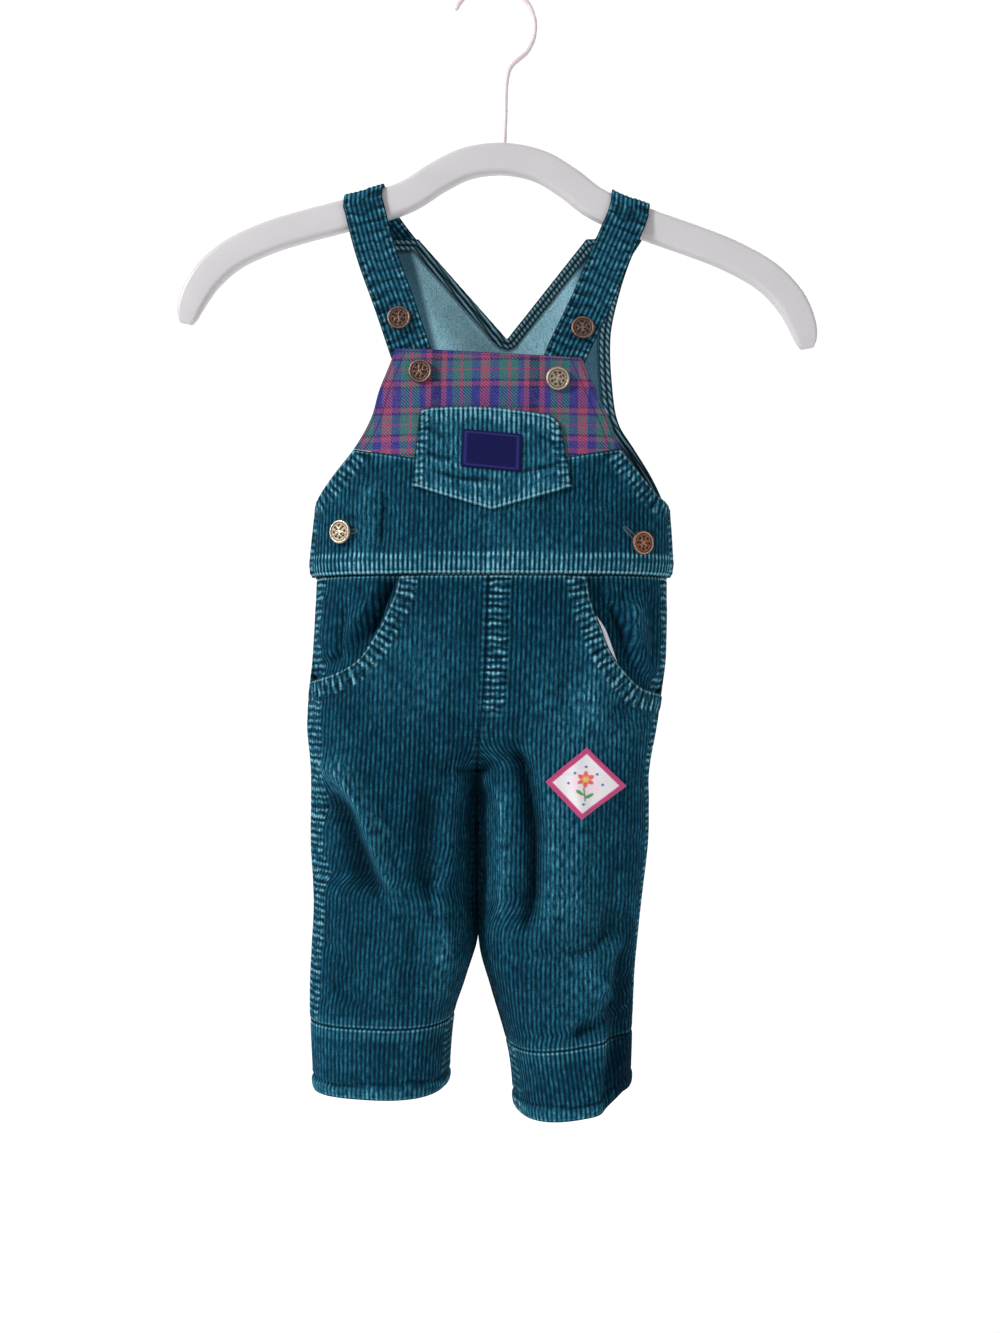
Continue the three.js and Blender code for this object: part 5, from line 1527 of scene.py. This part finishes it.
# The corduroy's colours, from its grooves, darkened as painted shade, to its worn ridges
DEEP = linear(0, 18, 31)
PILE = linear(2, 70, 96)
LIT_PILE = linear(48, 116, 140)
WORN_PILE = linear(126, 178, 190)
PUCKER = 4.3
STITCH_ROWS = 2.6, 8.4


def corduroy_face():
    paint = Paint("corduroy", Roughness=0.95, Sheen_Weight=0.06, Sheen_Roughness=0.5,
                  Sheen_Tint=linear(80, 160, 190), Specular_IOR_Level=0.06)
    u, v, worn = paint.parts("grain")
    cross, along, fold = paint.parts("marks")
    run, ladder, bars = paint.parts("seams")
    crest = (u + 0.35 * paint.noise(u / 5, v / 9, 17.0)).wave(WALE)
    fleck = paint.noise(u / 1.6, v / 5.0, 3.0, detail=3.0)
    pile = paint.noise(u / 0.5, v / 0.9, 7.0, detail=3.0, rough=0.7)
    cloud = paint.noise(u / 15, v / 24, 1.0, detail=4.0, rough=0.6).step(0.28, 0.72)
    patchy = paint.noise(u / 6, v / 7, 21.0, detail=3.0).step(0.36, 0.62)
    crack = paint.noise(u / 10, v / 2.4, 11.0, detail=2.0).hump(0.5, 0.03)

    rung = (run + 4.5 * paint.noise(u / 7, v / 7, 5.0)).wave(PUCKER)
    gap = (run + 1.6 * paint.noise(u / 14, v / 5, 9.0)).wave(7.9).step(0.8, 1.0)
    ditch = cross.least(along).step(1.3, 0.3)
    near, far = (cross.hump(row, 0.45) for row in STITCH_ROWS)
    stitch = near.most(far) * (0.5 * bars + 0.5 * ladder)

    rungs = ladder * rung * (0.35 + 0.65 * crest) * (0.2 + 0.8 * patchy)
    dashes = bars * crest ** 1.6 * (0.25 + 0.95 * fleck) * (0.6 + 0.4 * patchy)
    edge_line = cross.hump(1.0, 0.9) * (0.3 + 0.7 * crest) * (bars + ladder).least(1.0)
    rubbed = worn * (0.5 + 0.9 * cloud) + fold.step(0.6, 6.0) * 0.4
    rubbed = rubbed * (0.2 + 0.8 * crest) * fleck.step(0.32, 0.66)
    wear = (rungs * 1.15 + dashes + edge_line + rubbed * 1.1) * (0.6 + 0.8 * pile)

    # Darker towards the grooves between the wales, as painted shade, with random mottling, and moved by the
    # worn value
    shade = crest ** 1.1 * (0.3 + 0.8 * fleck) * (0.6 + 0.8 * pile) * (0.62 + 0.55 * cloud) + worn * 0.2
    colour = paint.blend(shade.least(1.0), DEEP, PILE)
    spark = crest ** 1.5 * fleck.step(0.48, 0.66) * pile.step(0.4, 0.62) * (0.35 + 0.9 * cloud)
    colour = paint.blend((spark * 0.9).least(1.0), colour, LIT_PILE)
    colour = paint.blend((wear * 1.6).least(1.0), colour, LIT_PILE)
    colour = paint.blend(wear.step(0.42, 1.05) * 0.85, colour, WORN_PILE)
    # Painted shade in the troughs of folds and creases and between the seam bands' puckers, on top of
    # darker edges, seams, stitch rows and thin random cracks
    dark = (
        ditch * 0.7
        + ladder * (1.0 - rung) * 0.5
        + ladder * gap * 0.35
        + stitch * 0.75
        + fold.step(-0.4, -6.0) * 0.6
        + crack * 0.3
    ).least(0.9)
    colour = paint.blend(dark, colour, DEEP)
    height = 0.3 * crest + 0.35 * fleck + 0.2 * pile
    height = height + 1.5 * ladder * rung + 0.5 * bars * patchy - 0.9 * stitch
    return paint.finish(colour, height, depth=0.55)


def corduroy_back():
    paint = Paint("corduroy_wrong_side", Roughness=0.95, Sheen_Weight=0.05, Sheen_Roughness=0.5,
                  Specular_IOR_Level=0.1)
    u, v, _ = paint.parts("grain")
    cross, _, _ = paint.parts("marks")
    twill = (u + v).wave(1.3)
    cloud = paint.noise(u / 18, v / 22, 2.0, detail=4.0)
    speck = paint.noise(u / 1.1, v / 1.6, 9.0, detail=3.0)
    slub = paint.noise(u / 0.9, v / 7, 6.0, detail=3.0)
    mottle = (0.15 + 0.6 * cloud + 0.25 * twill).least(1.0)
    colour = paint.blend(mottle, linear(84, 138, 156), linear(166, 214, 228))
    colour = paint.blend(speck.step(0.5, 0.7) * 0.6, colour, linear(186, 212, 220))
    pits = speck.step(0.5, 0.3) * 0.5 + slub.step(0.5, 0.3) * 0.4
    colour = paint.blend(pits, colour, linear(40, 98, 120))
    shadow = u.step(50, 58).most((0.0 - u - v * 0.27).step(98, 103))
    colour = paint.blend(shadow * 0.85, colour, linear(8, 56, 76))
    turned = cross.step(TURNING + 0.3, TURNING - 0.3)
    rope = (u + v * 0.8 + 1.5 * paint.noise(u / 7, v / 7, 4.0)).wave(3.4)
    edge_row = cross.wave(3.7, 1.9)
    roped = paint.blend((rope * edge_row * (0.6 + 0.6 * speck)).least(1.0), DEEP, linear(120, 170, 186))
    colour = paint.blend(turned, colour, roped)
    colour = paint.blend(cross.hump(8.3, 0.6) * 0.7, colour, DEEP)
    height = 0.25 * twill + 0.35 * speck + turned * (0.5 + 0.7 * rope * edge_row)
    return paint.finish(colour, height, depth=0.4)


# The flannel's check: half of its repeat, the place where it is mirrored, and where each colour starts
SETT_HALF = 30.7
SETT_U, SETT_V = -4.3, -271.5
GREEN, BLUE = linear(44, 112, 106), linear(44, 50, 134)
ROSE, NAVY = linear(160, 68, 100), linear(16, 26, 74)
SETT_ACROSS = [(0, ROSE), (3.0, BLUE), (8.4, GREEN), (14.0, ROSE), (15.6, GREEN), (20.4, BLUE),
               (24.2, ROSE), (27.4, NAVY)]
SETT_DOWN = [(0, BLUE), (5.4, NAVY), (7.0, ROSE), (10.0, NAVY), (11.6, GREEN), (17.2, ROSE), (18.6, GREEN),
             (23.6, NAVY), (25.4, ROSE), (28.4, BLUE)]


def flannel():
    paint = Paint("checked_flannel", Roughness=0.95, Sheen_Weight=0.12, Sheen_Roughness=0.5,
                  Specular_IOR_Level=0.1)
    u, v, _ = paint.parts("grain")
    left, right, top = paint.parts("marks")
    ripple = 0.8 * paint.noise(u / 30, v / 30, 3.0)

    def sett(place, pivot, stops):
        mirrored = paint.math("PINGPONG", place - pivot + ripple, SETT_HALF) / SETT_HALF
        return paint.stripes(mirrored, [(at / SETT_HALF, colour) for at, colour in stops])

    fuzz = paint.noise(u / 0.6, v / 0.6, 5.0, detail=3.0, rough=0.7)
    twill = (u + v + 0.9 * fuzz).wave(2.1).step(0.3, 0.7)
    cloth = paint.blend(0.06 + 0.88 * twill, sett(u, SETT_U, SETT_ACROSS), sett(v, SETT_V, SETT_DOWN))
    washed = paint.noise(u / 7, v / 7, 8.0, detail=3.0).step(0.4, 0.7)
    cloth = paint.blend(0.25 * washed, cloth, linear(110, 84, 110))
    cloth = paint.blend(0.6 * fuzz.step(0.55, 0.72), cloth, linear(184, 150, 170))
    # Painted shade in the twill's furrows and in the nap's hollows
    furrow = 0.6 * fuzz.step(0.47, 0.3) + 0.4 * (u + v + 0.6 * fuzz).wave(2.1)
    cloth = paint.blend(furrow, cloth, linear(10, 18, 52))
    edge = left.least(right).least(top)
    stitched = edge.hump(2.0, 0.45).most(left.least(right).hump(6.5, 0.45))
    cloth = paint.blend((stitched * 0.55).most(edge.step(1.0, 0.2) * 0.5), cloth, NAVY)
    height = 0.45 * twill + 0.5 * fuzz - 0.9 * stitched
    return paint.finish(cloth, height, depth=0.3)


def pocketing():
    paint = Paint("pocketing", Roughness=0.95, Specular_IOR_Level=0.2)
    u, v, _ = paint.parts("grain")
    weave = u.wave(0.5) * v.wave(0.5)
    mottle = paint.noise(u / 4, v / 4, 0.0)
    colour = paint.blend(mottle, linear(214, 212, 222), linear(238, 236, 242))
    return paint.finish(colour, weave + mottle, depth=0.15)


def label_weave():
    paint = Paint("label_weave", Roughness=0.75, Specular_IOR_Level=0.12)
    across, down, edge = paint.parts("grain")
    rib = (down * LABEL_HEIGHT).wave(0.62)
    thread = (across * LABEL_WIDTH).wave(0.5)
    fuzz = paint.noise(across * 30, down * 24, 2.0, detail=3.0)
    lit = (0.35 * rib + 0.25 * thread + 0.4 * fuzz).least(1.0)
    colour = paint.blend(lit, linear(4, 5, 48), linear(18, 20, 84))
    stitch = edge.hump(0.07, 0.02) * ((across + down) * 20.0).wave(1.0).step(0.25, 0.6)
    colour = paint.blend(stitch * 0.7, colour, linear(66, 70, 150))
    colour = paint.blend(edge.step(0.03, 0.0) * 0.6, colour, linear(2, 3, 24))
    return paint.finish(colour, 0.5 * rib + 0.3 * thread + 0.8 * stitch, depth=0.25)


def badge_weave():
    paint = Paint("badge_weave", Roughness=0.75, Sheen_Weight=0.2, Sheen_Roughness=0.4)
    across, down, edge = paint.parts("grain")
    source = paint.node("ShaderNodeAttribute", attribute_name="art")
    rib = (across * 32.0).wave(0.6)
    overlock = ((across + down) * 32.0).wave(0.9) * edge.step(0.08, 0.05)
    fuzz = paint.noise(across * 40, down * 40, 2.0, detail=2.0)
    shaded = paint.blend((1.0 - rib) * 0.22 + fuzz * 0.12, source.outputs["Color"], linear(70, 40, 60))
    return paint.finish(shaded, 0.4 * rib + 1.2 * overlock + 0.2 * fuzz, depth=0.3)


def tack_metal(name, dark, bright):
    paint = Paint(name, Metallic=0.92, Roughness=0.42)
    x, y, z = paint.parts("grain")
    patina = paint.noise(x / 1.3, y / 1.3, z, detail=4.0)
    rim = z.step(3.28, 3.5)
    radius = (x * x + y * y) ** 0.5
    turn = paint.math("ARCTAN2", y, x)
    petals = ((turn * 8.0 / math.pi).wave(2.0) * radius.hump(3.9, 0.8)
              + (turn * 6.0).wave(2 * math.pi) * radius.hump(1.3, 0.5))
    share = (0.3 + 0.7 * rim + 0.9 * (patina - 0.5)).least(1.0).most(0.0)
    colour = paint.blend(share, dark, bright)
    recess = (petals.step(0.3, 0.6) + radius.hump(5.75, 0.3) * 0.7).least(0.9)
    colour = paint.blend(recess, colour, linear(20, 14, 14))
    scuffs = paint.noise(x * 3, y * 3, z * 3, detail=3.0)
    return paint.finish(colour, scuffs - 2.0 * petals, 0.5 - 0.2 * rim + 0.2 * (patina - 0.5), depth=0.12)


def hanger_plastic():
    paint = Paint("hanger_plastic", Roughness=0.38, Specular_IOR_Level=0.45)
    run, y, z = paint.parts("grain")
    cloud = paint.noise(run / 12, y / 6, z / 20, detail=3.0)
    colour = paint.blend(cloud, linear(184, 181, 184), linear(193, 190, 193))
    return paint.finish(colour, paint.noise(run / 2, y / 2, z / 2), 0.34 + 0.1 * cloud, depth=0.03)


def hook_enamel():
    paint = Paint("hook_enamel", Roughness=0.35, Specular_IOR_Level=0.5)
    run, y, z = paint.parts("grain")
    cloud = paint.noise(run / 6, y / 2, z / 8, detail=3.0)
    colour = paint.blend(cloud, linear(196, 178, 182), linear(214, 204, 207))
    return paint.finish(colour, paint.noise(run * 1.5, y * 2, z * 2), 0.3 + 0.15 * cloud, depth=0.05)


def thread():
    paint = Paint("sewing_thread", Roughness=0.6, Sheen_Weight=0.2, Sheen_Roughness=0.4)
    x, y, z = paint.parts("grain")
    twist = (x + z * 1.3).wave(0.45)
    mottle = paint.noise(x, y, z, detail=2.0)
    colour = paint.blend((0.5 * twist + 0.5 * mottle).least(1.0), linear(8, 46, 62), linear(44, 100, 118))
    return paint.finish(colour, twist, depth=0.08)


def plain(name, colour):
    paint = Paint(name, Roughness=0.95, Specular_IOR_Level=0.1)
    paint.shader.inputs["Base Color"].default_value = colour
    return paint.material


CORDUROY_FACE, CORDUROY_BACK = corduroy_face(), corduroy_back()
FLANNEL_CLOTH, POCKETING, THREAD = flannel(), pocketing(), thread()
LABEL_WEAVE, BADGE_WEAVE = label_weave(), badge_weave()
COPPER = tack_metal("antique_copper", linear(46, 36, 34), linear(148, 118, 106))
WARM_COPPER = tack_metal("worn_copper", linear(66, 44, 36), linear(182, 132, 108))
BRASS = tack_metal("pale_brass", linear(112, 98, 82), linear(200, 186, 164))
HANGER_PLASTIC, HOOK_ENAMEL = hanger_plastic(), hook_enamel()


def badge_art(across, down):
    """A plain flower on a white field in a rose border, as colours over shares across and down."""
    a, b = across - 0.5, down - 0.5
    up, right = (a - b) / math.sqrt(2), (a + b) / math.sqrt(2)
    square = np.maximum(np.abs(a), np.abs(b))
    art = np.zeros(across.shape + (3,))
    art[:] = linear(238, 236, 238)[:3]

    def fill(where, *colour):
        art[where] = linear(*colour)[:3]

    fill(np.hypot(right, up + 0.02) < 0.255, 247, 226, 236)
    fill((np.abs(right - 0.015 * np.sin(up * 16)) < 0.013) & (up < -0.04) & (up > -0.33), 64, 140, 84)
    for side, height in ((-1, -0.17), (1, -0.23)):
        lean = side * 0.6
        lx, ly = right - side * 0.085, up - height
        across_leaf = lx * math.cos(lean) + ly * math.sin(lean)
        down_leaf = ly * math.cos(lean) - lx * math.sin(lean)
        fill((across_leaf / 0.085) ** 2 + (down_leaf / 0.033) ** 2 < 1, 76, 160, 92)
    radius, angle = np.hypot(right, up - 0.09), np.arctan2(right, up - 0.09)
    fill(radius < 0.15 * (0.86 + 0.22 * np.cos(6 * angle)), 232, 98, 92)
    fill(radius < 0.088 * (0.86 + 0.2 * np.cos(6 * angle + math.pi)), 244, 150, 128)
    fill(radius < 0.045, 246, 208, 84)
    for dot_right, dot_up in ((-0.3, 0.0), (0.3, 0.0), (0.0, 0.33), (-0.19, 0.2), (0.19, 0.2), (0.0, -0.4)):
        fill(np.hypot(right - dot_right, up - dot_up) < 0.026, 70, 110, 190)
    fill(square > 0.395, 250, 196, 218)
    fill(square > 0.415, 204, 62, 128)
    return {"art": art}


place(make_front_bib(), "corduroy", "front_bib", flat=(0.262, 0.086), area=0.0165,
      rests_on=["back_bib_shell"])
place(make_yoke(), "flannel", "bib_yoke", flat=(0.172, 0.078), area=0.0101)
place(make_back_bib(), "corduroy", "back_bib", flat=(0.27, 0.212), area=0.035)
place(make_pocket(), "corduroy", "bib_pocket", flat=(0.105, 0.066), area=0.0055, held="laid",
      rests_on=["front_bib_shell"])
label = patch("bib_label_shell", on_front, 24, 36, label_position,
              POCKET_LIFT + SEAM + LINING, LINING, [LABEL_WEAVE])
place(label, "label", "bib_label", flat=(0.038, 0.024), held="laid", rests_on=["bib_pocket_shell"])
badge = patch("leg_badge_shell", right_leg_at(), 84, 84, badge_position,
              LINING + 0.9, LINING, [BADGE_WEAVE], badge_art)
place(badge, "badge", "leg_badge", flat=(0.0335, 0.0335), held="laid", rests_on=["front_right_leg_shell"])

LEG_FLAT = {"left": {"front": (0.15, 0.285, 0.0345), "back": (0.17, 0.285, 0.041)},
            "right": {"front": (0.15, 0.297, 0.0345), "back": (0.17, 0.297, 0.042)}}
for side in ("left", "right"):
    for face in ("front", "back"):
        width, length, area = LEG_FLAT[side][face]
        place(make_leg(side, face), "corduroy", f"{face}_{side}_leg", flat=(width, length), area=area)
    place(make_hem(side), "corduroy", f"{side}_hem", flat=(0.25, 0.045), area=0.0105)
    place(make_facing(side), "corduroy", f"{side}_pocket_facing", flat=(0.08, 0.085), area=0.0045,
          held="laid", rests_on=[f"front_{side}_leg_shell"])
    place(make_strap(side), "corduroy", f"{side}_strap", flat=(0.026, 0.29), held="draped",
          rests_on=["hanger_body_shell"])
place(make_lining(), "lining", "right_pocket_lining", flat=(0.012, 0.032), area=0.0003, held="laid",
      rests_on=["front_right_leg_shell"])
place(make_hanger(), "hanger", "hanger_body")
place(make_hook(), "hook", "hanger_hook")

for name, where, lift, spin, metal in (
    ("strap_button_left", on_strap(-61.1, -220), STRAP_CLOTH, 0.3, COPPER),
    ("strap_button_right", on_strap(55.6, -227), STRAP_CLOTH, 0.1, COPPER),
    ("bib_button_left", on_bib(-46.7, -255.5), CORDUROY, 0.5, COPPER),
    ("bib_button_right", on_bib(39, -260.5), CORDUROY, -0.35, BRASS),
    ("side_button_left", on_bib(-94.5, -357), CORDUROY + 0.4, 0.1, BRASS),
    ("side_button_right", on_bib(90, -364), CORDUROY + 0.4, 0.75, WARM_COPPER),
):
    place(make_button(f"{name}_shell", *where, lift, spin, metal), "button", name)
for side, x, z, length, lean in (("left", -92.5, -357, 15, 0.05), ("right", 87, -361, 20, -0.75)):
    place(make_buttonhole(f"side_buttonhole_{side}", x, z, length, lean), "corduroy")


# The studio
FLOOR_Z, WIDE = -1050, 1300
EYE, LENS = (0.0031, -0.9, -0.441), 37.4
corners = [(-WIDE, -WIDE, FLOOR_Z), (WIDE, -WIDE, FLOOR_Z), (WIDE, WIDE, FLOOR_Z), (-WIDE, WIDE, FLOOR_Z)]
build("floor", corners, [[0, 1, 2, 3]], [plain("studio_white", linear(254, 254, 254))])
GARMENT = Vector((0, 0, -0.42))


def softbox(name, place_at, size, power_watts):
    light = bpy.data.lights.new(name, "AREA")
    light.shape, light.size, light.energy = "DISK", size, power_watts
    lamp = bpy.data.objects.new(name, light)
    lamp.location = place_at
    lamp.rotation_euler = (GARMENT - lamp.location).to_track_quat("-Z", "Y").to_euler()
    bpy.context.scene.collection.objects.link(lamp)


softbox("key", Vector((-2.1, -1.35, 0.85)), 0.6, 76)
softbox("fill", Vector((1.6, -1.9, -0.3)), 1.6, 12)
softbox("rim", Vector((0.9, 1.6, 0.9)), 1.2, 14)
# The light from all round is brightest behind the garment, which leaves soft shade on its front
world = bpy.data.worlds.new("studio")
world.use_nodes = True
around = world.node_tree.nodes.new("ShaderNodeTexCoord")
parts = world.node_tree.nodes.new("ShaderNodeSeparateXYZ")
fade = world.node_tree.nodes.new("ShaderNodeMapRange")
fade.interpolation_type = "SMOOTHSTEP"
background = world.node_tree.nodes["Background"]
background.inputs["Color"].default_value = (1, 1, 1, 1)
for socket, value in (("From Min", -0.35), ("From Max", 0.4), ("To Min", 0.4), ("To Max", 1.08)):
    fade.inputs[socket].default_value = value
world.node_tree.links.new(around.outputs["Generated"], parts.inputs[0])
world.node_tree.links.new(parts.outputs["Y"], fade.inputs["Value"])
world.node_tree.links.new(fade.outputs["Result"], background.inputs["Strength"])
scene = bpy.context.scene
scene.world = world
scene.view_settings.view_transform = "Standard"

# The camera looks level at the garment from where the photo was taken
camera = bpy.data.cameras.new("camera")
camera.sensor_width = 36
camera.lens = LENS
eye = bpy.data.objects.new("camera", camera)
eye.location = EYE
eye.rotation_euler = (math.pi / 2, 0, 0)
scene.collection.objects.link(eye)
scene.camera = eye

bpy.context.view_layer.update()
